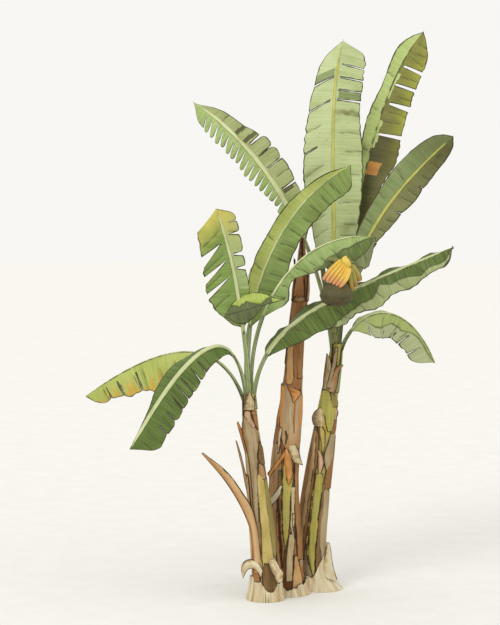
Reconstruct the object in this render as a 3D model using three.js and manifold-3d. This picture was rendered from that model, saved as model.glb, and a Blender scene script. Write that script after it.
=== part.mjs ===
// A banana clump: three leaning pseudostems from one root, their leaves, old leaf sheaths and a short bunch of fruit.
// Millimetres. +X is to the right and +Y away from the front, +Z is up, and the origin is where the middle stem
// meets the ground.
import * as THREE from "three";
import { mergeVertices } from "three/addons/utils/BufferGeometryUtils.js";
import Module from "manifold-3d";

const wasm = await Module();
wasm.setup();

const CLEARANCE = 0.3; // the gap between a piece and what it is seated on
const STEM_SIDES = 14;
const STEM_RINGS = 12;
const RIB_SIDES = 6;
const PETIOLE_STEPS = 4;
const BLADE_CELL = 240; // the longest step along a blade
const BLADE_ACROSS = 2; // steps from the rib to each margin
const SLIT = 2; // how wide a tear is at its inner end

const COLOURS = {
  stem: { color: 0x8a7a4a, roughness: 0.75 },
  deadStem: { color: 0x8b5a3c, roughness: 0.85 },
  drySheath: { color: 0xc09a66, roughness: 0.85 },
  rootCrown: { color: 0xcdb98c, roughness: 0.95 },
  leaf: { color: 0x6f9a4a, roughness: 0.5 },
  paleLeaf: { color: 0xa3bf78, roughness: 0.55 },
  darkLeaf: { color: 0x5b6a36, roughness: 0.5 },
  fruit: { color: 0xe3b431, roughness: 0.5 },
  bract: { color: 0x57502f, roughness: 0.6 },
};

// The stems. path holds points of the axis from the foot to the top, and girth the radius at those points.
// Old sheaths wrap each stem in `wraps` overlaps that wind round it, each standing `lap` proud of the next.
const STEMS = {
  left: {
    path: [[-193, -230, 0], [-198, -230, 311], [-249, -232, 793], [-288, -235, 1161], [-320, -238, 1512], [-328, -240, 1640]],
    girth: [128, 108, 86, 68, 54, 46],
    wraps: 3,
    lap: 7,
    wind: 0.8,
    turn: 0.4,
    finish: "stem",
  },
  middle: {
    path: [[0, 0, 0], [-22, 5, 428], [-46, 10, 834], [-22, 20, 1239], [17, 30, 1602], [49, 45, 2061], [89, 65, 2446], [98, 78, 2862]],
    girth: [126, 116, 112, 104, 80, 62, 60, 17],
    wraps: 3,
    lap: 8,
    wind: 0.5,
    turn: 1.2,
    finish: "deadStem",
  },
  right: {
    path: [[195, 190, 0], [178, 190, 361], [210, 195, 739], [258, 200, 1099], [314, 205, 1500], [370, 210, 1867], [386, 212, 2000]],
    girth: [118, 112, 110, 96, 70, 50, 42],
    wraps: 3,
    lap: 8,
    wind: 0.7,
    turn: 2.1,
    finish: "stem",
  },
};

// The leaves. Each rib is a Bezier curve from its foot in the stem's top, by `rise` and `arch`, to `tip`. The blade
// starts at the share `from` of the rib. `face` is the way that the upper side looks at the blade's foot, and
// `tipFace` at its tip. Half `right` lies on the side rib x face and half `left` on the other.
// A half has its width, fold and curl (degrees below the rib's plane, at the rib and added by the margin), the lean
// of its veins towards the tip, and the places along the blade where it is torn, from `root` of its width outwards,
// open by `gap` at the margin.
// The outline swells by `shoulder` of the blade and narrows from `neck` on, and `blunt` is how roundly it does. A
// half can have a neck and bluntness of its own.
const LEAVES = [
  {
    name: "leaf_left_far", stem: "left", turn: 180, foot: -20, thick: 21,
    rise: [-519, -120, 2097], arch: [-965, 120, 2078], tip: [-1663, 330, 1559],
    from: 0.27, face: [0.2, -0.2, 1], tipFace: [-0.3, -0.25, 1], shoulder: 0.3, neck: 0.35, blunt: 2.6,
    left: { width: 240, fold: 58, curl: 10, lean: -0.05, tears: [0.5, 0.68], root: 0.4, gap: 10, neck: 0.6, blunt: 2 },
    right: { width: 200, fold: 25, curl: 20, lean: 0.1, tears: [0.6], root: 0.4, gap: 14 },
    ripple: 12, waves: 4, finish: "leaf",
  },
  {
    name: "leaf_left_near", stem: "left", turn: 228, foot: -30, thick: 22,
    rise: [-398, -340, 2249], arch: [-704, -640, 2240], tip: [-1228, -880, 1290],
    from: 0.26, face: [0, -0.5, 1], tipFace: [0.15, -1, 0.3], shoulder: 0.25, neck: 0.45, blunt: 2.8,
    left: { width: 235, fold: 12, curl: 14, lean: 0.2, tears: [0.36, 0.58, 0.78], root: 0.5, gap: 6, neck: 0.75, blunt: 1.6 },
    right: { width: 120, fold: 24, curl: 14, lean: 0.2, tears: [], root: 0.5, gap: 6 },
    ripple: 6, waves: 5, finish: "leaf",
  },
  {
    name: "leaf_left_upright", stem: "left", turn: 277, foot: 0, thick: 17,
    rise: [-351, -330, 2114], arch: [-428, -480, 2694], tip: [-581, -600, 3106],
    from: 0.36, face: [-0.05, -1, 0.2], tipFace: [0.05, -1, 0.1], shoulder: 0.14, neck: 0.9, blunt: 1.4,
    left: { width: 230, fold: 12, curl: 14, lean: -0.35, tears: [0.28, 0.45, 0.64], root: 0.3, gap: 26 },
    right: { width: 150, fold: 10, curl: 12, lean: 0.05, tears: [0.36, 0.52, 0.7, 0.86], root: 0.35, gap: 20 },
    ripple: 8, waves: 3, finish: "leaf",
  },
  {
    name: "leaf_left_tall", stem: "left", turn: 75, foot: 0, thick: 20,
    rise: [-272, -120, 2296], arch: [-57, 20, 3071], tip: [485, -80, 3431],
    from: 0.28, face: [-0.3, -1, 0.1], tipFace: [0.1, -1, 0.3], shoulder: 0.3, neck: 0.5, blunt: 2.2,
    left: { width: 125, fold: -30, curl: -30, lean: 0.2, tears: [], root: 0.5, gap: 6 },
    right: { width: 215, fold: 8, curl: 14, lean: 0.1, tears: [], root: 0.5, gap: 6 },
    ripple: 22, waves: 4, finish: "leaf",
  },
  {
    name: "leaf_left_arching", stem: "left", turn: 18, foot: -10, thick: 18,
    rise: [-226, -330, 2311], arch: [71, -310, 2952], tip: [667, -260, 2883],
    from: 0.38, face: [-0.4, -0.8, 0.6], tipFace: [0, -0.5, 1], shoulder: 0.3, neck: 0.6, blunt: 1.9,
    left: { width: 160, fold: 50, curl: 20, lean: 0.1, tears: [], root: 0.5, gap: 6, neck: 0.8 },
    right: { width: 200, fold: 32, curl: 12, lean: 0.4, tears: [], root: 0.5, gap: 6 },
    ripple: 18, waves: 4, finish: "leaf",
  },
  {
    name: "leaf_left_broad", stem: "left", turn: 328, foot: -30, thick: 20,
    rise: [-281, -300, 2246], arch: [315, -120, 2376], tip: [1270, -300, 2803],
    from: 0.2, face: [0, -0.6, 1], tipFace: [0, -0.5, 1], shoulder: 0.22, neck: 0.35, blunt: 1.9,
    left: { width: 170, fold: 16, curl: 14, lean: 0.1, tears: [], root: 0.5, gap: 6 },
    right: { width: 225, fold: 44, curl: 16, lean: 0.55, tears: [], root: 0.5, gap: 6 },
    ripple: 20, waves: 5, finish: "leaf",
  },
  {
    name: "leaf_left_back", stem: "left", turn: 127, foot: 0, thick: 18,
    rise: [-350, 0, 2250], arch: [-260, 420, 2760], tip: [-60, 1150, 2790],
    from: 0.34, face: [-0.3, -0.6, 1], tipFace: [0, 0.3, 1], shoulder: 0.3, neck: 0.5, blunt: 2.2,
    left: { width: 200, fold: 25, curl: 25, lean: 0.1, tears: [0.4, 0.7], root: 0.4, gap: 14 },
    right: { width: 200, fold: 25, curl: 25, lean: 0.1, tears: [0.55], root: 0.4, gap: 14 },
    ripple: 14, waves: 4, finish: "leaf",
  },
  {
    name: "leaf_right_combed", stem: "right", turn: 190, foot: 0, thick: 20,
    rise: [259, 120, 2884], arch: [-256, 130, 3629], tip: [-776, 420, 3953],
    from: 0.39, face: [-0.2, -1, 0.2], tipFace: [0, -1, 0.3], shoulder: 0.16, neck: 0.8, blunt: 1.7,
    left: { width: 150, fold: 12, curl: 16, lean: -0.4, tears: 13, root: 0.25, gap: 16 },
    right: { width: 200, fold: 14, curl: 18, lean: 0.1, tears: [0.12, 0.3, 0.44, 0.6], root: 0.25, gap: 8 },
    ripple: 8, waves: 4, finish: "leaf",
  },
  {
    name: "leaf_right_tallest", stem: "right", turn: 138, foot: 10, thick: 22,
    rise: [397, 340, 2918], arch: [285, 470, 3895], tip: [447, 640, 4467],
    from: 0.25, face: [0, -1, 0.15], tipFace: [0, -1, 0.25], shoulder: 0.2, neck: 0.86, blunt: 1.3,
    left: { width: 240, fold: 10, curl: 12, lean: -0.5, tears: [0.36, 0.52, 0.72, 0.85], root: 0.3, gap: 10, neck: 0.82, blunt: 1.3 },
    right: { width: 215, fold: 8, curl: 10, lean: 0, tears: [0.58, 0.68, 0.74, 0.8, 0.87], root: 0.15, gap: 12, neck: 0.95, blunt: 1.2 },
    ripple: 6, waves: 4, finish: "paleLeaf",
  },
  {
    name: "leaf_right_tattered", stem: "right", turn: 38, foot: 0, thick: 22,
    rise: [502, 480, 2873], arch: [682, 820, 4031], tip: [1145, 1100, 4572],
    from: 0.3, face: [-0.5, -1, 0.1], tipFace: [-0.35, -1, 0.2], shoulder: 0.2, neck: 0.85, blunt: 1.5,
    left: { width: 95, fold: -20, curl: -8, lean: 0.1, tears: [], root: 0.5, gap: 6 },
    right: { width: 210, fold: 12, curl: 10, lean: 0.05, tears: [0.5, 0.64, 0.73, 0.82], root: 0.2, gap: 24, neck: 0.93, blunt: 1.3 },
    ripple: 10, waves: 4, finish: "darkLeaf",
  },
  {
    name: "leaf_right_leaning", stem: "right", turn: 300, foot: -10, thick: 17,
    rise: [429, 150, 2762], arch: [813, 20, 3246], tip: [1279, -150, 3667],
    from: 0.25, face: [-0.1, -1, 0.1], tipFace: [0, -1, 0.3], shoulder: 0.35, neck: 0.6, blunt: 2,
    left: { width: 190, fold: 12, curl: 12, lean: 0.15, tears: [], root: 0.5, gap: 6 },
    right: { width: 165, fold: 16, curl: 12, lean: 0.15, tears: [0.3, 0.5, 0.68], root: 0.5, gap: 6 },
    ripple: 14, waves: 4, finish: "darkLeaf",
  },
  {
    name: "leaf_right_drooping", stem: "right", turn: 350, foot: -50, thick: 14,
    rise: [492, 250, 2312], arch: [950, 400, 2441], tip: [1220, 620, 1806],
    from: 0.2, face: [0, -0.5, 1], tipFace: [0.8, -0.4, 0.5], shoulder: 0.25, neck: 0.5, blunt: 2.2,
    left: { width: 110, fold: 20, curl: 20, lean: 0.1, tears: [], root: 0.5, gap: 6 },
    right: { width: 190, fold: 60, curl: 10, lean: -0.1, tears: [0.25, 0.42, 0.56, 0.7], root: 0.35, gap: 14 },
    ripple: 10, waves: 4, finish: "leaf",
  },
  {
    name: "leaf_right_back", stem: "right", turn: 88, foot: 0, thick: 20,
    rise: [400, 480, 2600], arch: [380, 900, 3500], tip: [330, 1550, 3750],
    from: 0.3, face: [0, -0.5, 1], tipFace: [0, 0.3, 1], shoulder: 0.25, neck: 0.55, blunt: 2.2,
    left: { width: 200, fold: 18, curl: 20, lean: 0.1, tears: [0.35, 0.6, 0.8], root: 0.3, gap: 16 },
    right: { width: 200, fold: 18, curl: 20, lean: 0.1, tears: [0.45, 0.7], root: 0.3, gap: 16 },
    ripple: 12, waves: 4, finish: "leaf",
  },
];

// The torn lower lobe of the upright leaf folds over to the right, across the leaf's own foot.
const LOBE = {
  name: "lobe", of: "leaf_left_upright", thick: 16,
  start: [-430, -330, 2216], rise: [-351, -370, 2400], arch: [-180, -430, 2520], tip: [-25, -450, 2420],
  from: 0, face: [-0.4, -0.6, 1], tipFace: [0, -0.7, 1], shoulder: 0.3, neck: 0.4, blunt: 1.6,
  left: { width: 85, fold: -45, curl: -10, lean: 0.1, tears: [], root: 0.5, gap: 6 },
  right: { width: 170, fold: 42, curl: 20, lean: 0.2, tears: [], root: 0.5, gap: 6 },
  ripple: 8, waves: 2,
};
const PETIOLE = { foot: 15, blade: 17, tip: 9, depth: 90, sunk: 9, splice: 0.02 };

// Old leaf sheaths on the stems. Each is a curved strip that is held at height `held` and runs to height `free`,
// round the stem at `turn` degrees (0 is to the right, -90 to the front), swinging by `swing` degrees, lifted off
// the stem by `lift` at its free end, `wide` across at its held end and `end` at its free one.
const SHEATHS = [
  { name: "sheath_left_long", stem: "left", held: 330, free: 1165, turn: 215, swing: -4, lift: 430, power: 2.3, wide: 150, end: 36, steps: 8 },
  { name: "sheath_left_spike", stem: "left", held: 830, free: 1245, turn: 196, swing: 6, lift: 78, power: 1.2, wide: 54, end: 14, steps: 4 },
  { name: "sheath_left_stub", stem: "left", held: 1010, free: 1395, turn: 186, swing: 8, lift: 62, power: 1.6, wide: 84, end: 16, steps: 4 },
  { name: "sheath_left_collar", stem: "left", held: 1475, free: 1625, turn: -84, swing: 0, lift: 6, power: 1, wide: 104, end: 34, steps: 3 },
  { name: "sheath_left_front", stem: "left", held: 560, free: 1290, turn: -74, swing: -22, lift: 4, power: 1, wide: 130, end: 60, steps: 5 },
  { name: "sheath_left_curl", stem: "left", held: 60, free: 270, turn: 200, swing: -12, lift: 92, power: 1.6, wide: 150, end: 60, steps: 5 },
  { name: "sheath_left_scar", stem: "left", held: 40, free: 285, turn: -58, swing: 4, lift: 26, power: 1.5, wide: 130, end: 96, steps: 4 },
  { name: "sheath_middle_cuff", stem: "middle", held: 1560, free: 1700, turn: -70, swing: 8, lift: 14, power: 1, wide: 118, end: 30, steps: 3 },
  { name: "sheath_middle_side", stem: "middle", held: 1345, free: 1690, turn: 200, swing: -8, lift: 26, power: 1, wide: 90, end: 30, steps: 4 },
  { name: "sheath_middle_peel", stem: "middle", held: 1235, free: 1045, turn: -62, swing: 22, lift: 48, power: 1.2, wide: 100, end: 70, steps: 4 },
  { name: "sheath_middle_strip", stem: "middle", held: 1165, free: 945, turn: -114, swing: -46, lift: 36, power: 1, wide: 46, end: 26, steps: 4 },
  { name: "sheath_middle_tongue", stem: "middle", held: 1120, free: 895, turn: -82, swing: 4, lift: 14, power: 1, wide: 84, end: 16, steps: 3 },
  { name: "sheath_right_tip", stem: "right", held: 1590, free: 1850, turn: -70, swing: 34, lift: 34, power: 1.4, wide: 96, end: 16, steps: 4 },
  { name: "sheath_right_spike", stem: "right", held: 1660, free: 1940, turn: 190, swing: -6, lift: 16, power: 1, wide: 60, end: 12, steps: 3 },
  { name: "sheath_right_blister", stem: "right", held: 1270, free: 1495, turn: -112, swing: -4, lift: 34, power: 0.8, wide: 100, end: 90, steps: 4 },
  { name: "sheath_right_scale", stem: "right", held: 1150, free: 940, turn: -88, swing: -6, lift: 14, power: 1, wide: 62, end: 14, steps: 3 },
  { name: "sheath_right_flare", stem: "right", held: 430, free: 120, turn: -12, swing: 10, lift: 60, power: 2.2, wide: 60, end: 190, steps: 5 },
  { name: "sheath_right_edge", stem: "right", held: 1180, free: 1500, turn: -8, swing: 4, lift: 14, power: 1, wide: 90, end: 40, steps: 4 },
];
const SHEATH_THICKNESS = 9;
const SHEATH_SUNK = 5; // how far a sheath's held end reaches into its stem, before it is cut clear
const SHEATH_ACROSS = 3;

// The root crown: the matted stubs of old sheaths that stand round each stem's foot and join them at the ground.
const ROOT_CROWN = {
  height: 120,
  skirts: [
    { stem: "left", foot: 24, top: 9, sides: 14, flare: 10, toward: 250 },
    { stem: "middle", foot: 50, top: 10, sides: 14, flare: 20, toward: 250 },
    { stem: "right", foot: 60, top: 9, sides: 14, flare: 60, toward: -10 },
  ],
  ragged: 34, // how far the rim rises and falls
};

// The bunch hangs from a stalk that comes out of the right stem's top, passes between two leaves and bends over.
const STALK = {
  path: [[386, 212, 1960], [335, 130, 2250], [262, -50, 2590], [284, -290, 2735], [376, -470, 2752], [400, -506, 2640], [362, -500, 2470]],
  radius: 21,
};
const BUNCH = {
  crown: [400, -496, 2712],
  hands: [
    { fingers: 6, from: 150, to: 292, drop: 212, spread: 158, radius: 21 },
    { fingers: 3, from: -60, to: 24, drop: 205, spread: 135, radius: 20 },
    { fingers: 4, from: 40, to: 140, drop: 190, spread: 125, radius: 20 },
  ],
};
const BUD = { centre: [358, -500, 2452], across: 140, deep: 112, tall: 118 };

const vector = (p) => new THREE.Vector3(...p);
const radians = THREE.MathUtils.degToRad;
const clamp01 = (x) => Math.min(1, Math.max(0, x));

// A closed three.js geometry as a solid, and back.
function solid(geometry) {
  const bare = new THREE.BufferGeometry().setAttribute("position", geometry.getAttribute("position"));
  if (geometry.index) bare.setIndex(geometry.index);
  const merged = mergeVertices(bare, 1e-3);
  return new wasm.Manifold(
    new wasm.Mesh({
      numProp: 3,
      vertProperties: new Float32Array(merged.attributes.position.array),
      triVerts: new Uint32Array(merged.index.array),
    }),
  );
}

function geometryOf(body) {
  const mesh = body.getMesh();
  const geometry = new THREE.BufferGeometry();
  geometry.setAttribute("position", new THREE.BufferAttribute(new Float32Array(mesh.vertProperties), 3));
  geometry.setIndex(new THREE.BufferAttribute(new Uint32Array(mesh.triVerts), 1));
  return geometry;
}

function joined(bodies) {
  return bodies.reduce((sum, body) => sum.add(body));
}

// Cuts a body clear of others and keeps its largest piece, so no scrap is left.
function clearOf(body, others) {
  const cut = others.reduce((rest, other) => rest.subtract(other), body);
  return cut.decompose().reduce((a, b) => (a.volume() > b.volume() ? a : b));
}

// Moves each vertex of a box or cylinder geometry to where `place` says.
function shaped(geometry, place) {
  const position = geometry.attributes.position;
  for (let i = 0; i < position.count; i++) {
    const p = place(position.getX(i), position.getY(i), position.getZ(i));
    position.setXYZ(i, p.x, p.y, p.z);
  }
  return geometry;
}

// A bar of round section along a curve: ring(t) gives the centre, the direction along, one across it, and the radius
// at share t.
function bar(sides, steps, ring) {
  const blank = new THREE.CylinderGeometry(1, 1, 1, sides, steps);
  return solid(
    shaped(blank, (x, y, z) => {
      const { centre, along, right, radius } = ring(y + 0.5);
      const up = right.clone().cross(along);
      return centre.addScaledVector(right, radius * x).addScaledVector(up, radius * z);
    }),
  );
}

// A stem's axis is a smooth curve through its points, and its radius runs straight from point to point.
function stemAxis(stem) {
  return new THREE.CatmullRomCurve3(stem.path.map(vector), false, "centripetal");
}

function stemAt(stem, height) {
  const { path, girth } = stem;
  const last = path.length - 1;
  let i = 0;
  while (i < last - 1 && path[i + 1][2] < height) i++;
  const share = clamp01((height - path[i][2]) / (path[i + 1][2] - path[i][2]));
  const centre = stemAxis(stem).getPoint((i + share) / last);
  return { centre, radius: girth[i] + (girth[i + 1] - girth[i]) * share };
}

// The radius of a stem at a height and an angle: overlapping sheaths that wind round it stand proud in turn.
function stemRadius(stem, height, angle, extra) {
  const top = stem.path.at(-1)[2];
  const phase = (angle / (2 * Math.PI)) * stem.wraps + stem.turn + (stem.wind * stem.wraps * height) / top;
  const lap = stem.lap * (phase - Math.floor(phase) - 0.5);
  const { radius } = stemAt(stem, height);
  return radius + lap * Math.min(1, radius / 60) + extra;
}

function stemSolid(stem, extra = 0) {
  const top = stem.path.at(-1)[2] + extra;
  const blank = new THREE.CylinderGeometry(1, 1, 1, STEM_SIDES, STEM_RINGS);
  return solid(
    shaped(blank, (x, y, z) => {
      const height = (y + 0.5) * top - (extra && y < -0.49 ? 1 : 0);
      const { centre } = stemAt(stem, height);
      const off = Math.hypot(x, z);
      const angle = Math.atan2(-x, -z);
      const radius = off > 0.5 ? stemRadius(stem, height, angle, extra) : 0;
      return new THREE.Vector3(centre.x + radius * Math.cos(angle), centre.y + radius * Math.sin(angle), height);
    }),
  );
}

// A leaf's rib, with its foot against the side of its stem's top.
function ribOf(leaf) {
  if (leaf.start) return new THREE.CubicBezierCurve3(...[leaf.start, leaf.rise, leaf.arch, leaf.tip].map(vector));
  const stem = STEMS[leaf.stem];
  const height = stem.path.at(-1)[2] + leaf.foot - PETIOLE.depth;
  const { centre, radius } = stemAt(stem, height);
  const turn = radians(leaf.turn);
  const off = radius + PETIOLE.foot - PETIOLE.sunk;
  const foot = new THREE.Vector3(centre.x + off * Math.cos(turn), centre.y + off * Math.sin(turn), height);
  return new THREE.CubicBezierCurve3(foot, vector(leaf.rise), vector(leaf.arch), vector(leaf.tip));
}

// The rib's point at a share of its length, with the direction along it, the upper side's, and the right half's.
function ribFrame(leaf, rib, share) {
  const t = clamp01(share);
  const along = rib.getTangentAt(t).normalize();
  const centre = rib.getPointAt(t).addScaledVector(along, (share - t) * rib.getLength());
  const turned = clamp01((t - leaf.from) / (1 - leaf.from));
  const face = vector(leaf.face).lerp(vector(leaf.tipFace), turned);
  const up = face.addScaledVector(along, -face.dot(along)).normalize();
  const right = along.clone().cross(up);
  return { centre, along, up, right };
}

function ribRadius(leaf, share) {
  if (share < leaf.from) return PETIOLE.foot + ((PETIOLE.blade - PETIOLE.foot) * share) / leaf.from;
  return PETIOLE.blade + ((PETIOLE.tip - PETIOLE.blade) * (share - leaf.from)) / (1 - leaf.from);
}

function petioleBar(leaf, extra = 0) {
  const rib = ribOf(leaf);
  return bar(RIB_SIDES, PETIOLE_STEPS, (t) => {
    const share = t * (leaf.from + PETIOLE.splice);
    return { ...ribFrame(leaf, rib, share), radius: ribRadius(leaf, share) + extra };
  });
}

// The blade's outline, as a share of its full width at a share of its length.
function outline({ shoulder, neck, blunt }, u) {
  const swell = u < shoulder ? 1 - (1 - u / shoulder) ** 2 : 1;
  const taper = u > neck ? 1 - ((u - neck) / (1 - neck)) ** blunt : 1;
  return Math.max(0.06, swell * taper);
}

// The blade's surface at a share u of its length and v of its half's width, and the upper side's direction there.
function bladePoint(leaf, rib, side, u, v) {
  const half = leaf[side];
  const sign = side === "right" ? 1 : -1;
  const width = half.width * outline({ ...leaf, ...half }, u);
  const share = leaf.from + (1 - leaf.from) * u + (half.lean * v * width) / rib.getLength();
  const { centre, up, right } = ribFrame(leaf, rib, share);
  const fold = radians(half.fold);
  const curl = radians(half.curl);
  const end = fold + curl * v;
  const out = (width * (Math.sin(end) - Math.sin(fold))) / curl;
  const down = (width * (Math.cos(fold) - Math.cos(end))) / curl;
  const wave = leaf.ripple * v * v * Math.sin(2 * Math.PI * leaf.waves * u + sign);
  const point = centre.addScaledVector(right, sign * out).addScaledVector(up, wave - down);
  const tilt = v > 0 ? sign * end : 0;
  const face = up.multiplyScalar(Math.cos(tilt)).addScaledVector(right, Math.sin(tilt));
  return { point, face };
}

function tearsOf(half) {
  if (Array.isArray(half.tears)) return half.tears;
  return Array.from({ length: half.tears }, (_, i) => 0.1 + (0.82 * (i + 0.5)) / half.tears);
}

// The blade is one slab across both halves, as thick as the rib in its middle line.
function bladeSlab(leaf, rib) {
  const cells = Math.ceil((rib.getLength() * (1 - leaf.from)) / BLADE_CELL);
  const blank = new THREE.BoxGeometry(1, 1, 1, cells, 2 * BLADE_ACROSS, 1);
  return solid(
    shaped(blank, (x, y, z) => {
      const u = x + 0.5;
      const v = Math.abs(2 * y);
      const { point, face } = bladePoint(leaf, rib, y > 0 ? "right" : "left", u, v);
      const thickness = v > 0.01 ? leaf.thick : 2 * ribRadius(leaf, leaf.from + (1 - leaf.from) * u);
      return point.addScaledVector(face, -z * thickness);
    }),
  );
}

// A tear is a wedge through a half, along its veins, that opens from its inner end out past the margin.
function tearWedge(leaf, rib, side, at) {
  const half = leaf[side];
  const length = rib.getLength() * (1 - leaf.from);
  const blank = new THREE.BoxGeometry(1, 1, 1, 1, 2, 1);
  return solid(
    shaped(blank, (x, y, z) => {
      const out = y + 0.5;
      const u = at + (x * (SLIT + (half.gap - SLIT) * out)) / length;
      const { point, face } = bladePoint(leaf, rib, side, u, half.root + (1.2 - half.root) * out);
      return point.addScaledVector(face, (side === "right" ? -z : z) * 6 * leaf.thick);
    }),
  );
}

function leafSolid(leaf) {
  const rib = ribOf(leaf);
  const tears = ["left", "right"].flatMap((side) => tearsOf(leaf[side]).map((at) => tearWedge(leaf, rib, side, at)));
  const blades = [clearOf(bladeSlab(leaf, rib), tears)];
  if (LOBE.of === leaf.name) blades.push(bladeSlab(LOBE, ribOf(LOBE)));
  return joined([petioleBar(leaf), ...blades]);
}

// The stalk of the bunch, as a bar along a smooth curve.
function stalkBar(extra = 0) {
  const curve = new THREE.CatmullRomCurve3(STALK.path.map(vector), false, "centripetal");
  return bar(RIB_SIDES, 10, (t) => {
    const along = curve.getTangent(t);
    const right = new THREE.Vector3(0.3, 0.2, 0).cross(along).normalize();
    return { centre: curve.getPoint(t), along, right, radius: STALK.radius + extra };
  });
}

// A finger curves out of the crown, down, and back in a little at its tip.
function finger(hand, index) {
  const angle = radians(hand.from + ((hand.to - hand.from) * (index + 0.5)) / hand.fingers);
  const outward = new THREE.Vector3(Math.cos(angle), Math.sin(angle), 0);
  const root = vector(BUNCH.crown).addScaledVector(outward, 0.8 * STALK.radius);
  const shoulder = root.clone().addScaledVector(outward, hand.spread * 0.62).setZ(root.z + 8);
  const tip = root.clone().addScaledVector(outward, hand.spread).setZ(root.z - hand.drop);
  const curve = new THREE.QuadraticBezierCurve3(root, shoulder, tip);
  return bar(6, 4, (t) => {
    const along = curve.getTangent(t);
    const right = new THREE.Vector3(-Math.sin(angle), Math.cos(angle), 0);
    const swell = 0.45 + 0.55 * Math.sin(Math.PI * clamp01(0.12 + 0.8 * t));
    return { centre: curve.getPoint(t), along, right, radius: hand.radius * (t > 0.98 ? 0.45 : swell) };
  });
}

function bunchSolid() {
  const fingers = BUNCH.hands.flatMap((hand) => Array.from({ length: hand.fingers }, (_, i) => finger(hand, i)));
  return joined([stalkBar(), ...fingers]);
}

// The bud: broad leathery bracts round the bunch's lower end, flat-topped and drawn in to a blunt lobed foot.
function budSolid() {
  const blank = new THREE.SphereGeometry(1, 12, 8);
  return solid(
    shaped(blank, (x, y, z) => {
      const shoulder = y > 0 ? 1 - 0.35 * y * y : 1 + 0.12 * y * (1 + y) * 4;
      return new THREE.Vector3(
        BUD.centre[0] + BUD.across * x * shoulder,
        BUD.centre[1] - BUD.deep * z * shoulder,
        BUD.centre[2] + BUD.tall * (y > 0 ? y * 0.62 : y * 0.85),
      );
    }),
  );
}

// A sheath is a strip bent to its stem's round that lifts away towards its free end.
function sheathSolid(sheath) {
  const stem = STEMS[sheath.stem];
  const blank = new THREE.BoxGeometry(1, 1, 1, SHEATH_ACROSS, sheath.steps, 1);
  const up = sheath.free > sheath.held ? 1 : -1;
  return solid(
    shaped(blank, (x, y, z) => {
      const h = y + 0.5;
      const height = sheath.held + (sheath.free - sheath.held) * h;
      const { centre, radius } = stemAt(stem, Math.min(height, stem.path.at(-1)[2]));
      const lift = sheath.lift * h ** sheath.power;
      const wide = sheath.wide + (sheath.end - sheath.wide) * h ** 1.4;
      const middle = radians(sheath.turn + sheath.swing * h);
      const angle = middle + (up * x * wide) / (radius + lift * 0.6);
      const seat = stem.lap / 2 - SHEATH_SUNK * (1 - h) + (stem.lap / 2) * h;
      const off = radius + seat + lift * Math.cos((angle - middle) * 0.8) + (z + 0.5) * SHEATH_THICKNESS;
      return new THREE.Vector3(centre.x + off * Math.cos(angle), centre.y + off * Math.sin(angle), height);
    }),
  );
}

// A skirt of the root crown: a ragged cone round one stem's foot.
function skirtSolid(skirt, extra = 0) {
  const stem = STEMS[skirt.stem];
  const blank = new THREE.CylinderGeometry(1, 1, 1, skirt.sides, 2);
  return solid(
    shaped(blank, (x, y, z) => {
      const off = Math.hypot(x, z);
      const angle = Math.atan2(-x, -z);
      const rise = y + 0.5;
      const rim = ROOT_CROWN.height + ROOT_CROWN.ragged * (off > 0.5 ? Math.sin(5 * angle) : 0);
      const height = rise * (rim + 2 * extra) - extra;
      const { centre, radius } = stemAt(stem, 0);
      const foot = skirt.foot + skirt.flare * Math.max(0, Math.cos(angle - radians(skirt.toward)));
      const reach = off > 0.5 ? radius + skirt.top + (foot - skirt.top) * (1 - rise) ** 1.7 + extra : 0;
      return new THREE.Vector3(centre.x + reach * Math.cos(angle), centre.y + reach * Math.sin(angle), height);
    }),
  );
}

const clump = new THREE.Group();
clump.name = "banana_clump";

function add(name, body, finish) {
  const { color, roughness } = COLOURS[finish];
  const material = new THREE.MeshStandardMaterial({ color, roughness, metalness: 0, flatShading: true });
  const mesh = new THREE.Mesh(geometryOf(body), material);
  mesh.name = name;
  clump.add(mesh);
  return body;
}

const grownStems = Object.values(STEMS).map((stem) => stemSolid(stem, CLEARANCE));
for (const [side, stem] of Object.entries(STEMS)) add(`stem_${side}`, stemSolid(stem), stem.finish);

const skirts = joined(ROOT_CROWN.skirts.map((skirt) => skirtSolid(skirt)));
const grownSkirts = joined(ROOT_CROWN.skirts.map((skirt) => skirtSolid(skirt, CLEARANCE)));
add("root_crown", clearOf(skirts, grownStems), "rootCrown");

// Each leaf is cut clear of its stem's top and of the stalks that stand there before it.
const stalks = [stalkBar(CLEARANCE)];
add("fruit_bunch", clearOf(bunchSolid(), grownStems), "fruit");
for (const leaf of LEAVES) {
  add(leaf.name, clearOf(leafSolid(leaf), [...grownStems, ...stalks]), leaf.finish);
  stalks.push(petioleBar(leaf, CLEARANCE));
}
add("fruit_bud", clearOf(budSolid(), [stalkBar(CLEARANCE)]), "bract");

const seats = [...grownStems, grownSkirts, ...stalks];
for (const sheath of SHEATHS) add(sheath.name, clearOf(sheathSolid(sheath), seats), "drySheath");

export default clump;
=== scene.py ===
"""The looks of a banana clump: three sheathed stems, torn leaves, peeling old sheaths and a short bunch.

Lengths in the tables are millimetres and angles degrees, and meshes are in metres. +X is to the right, +Y
away from the front and +Z up, and the origin is where the middle stem meets the ground.
"""

import logging
from dataclasses import dataclass, field
from enum import Enum

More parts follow.
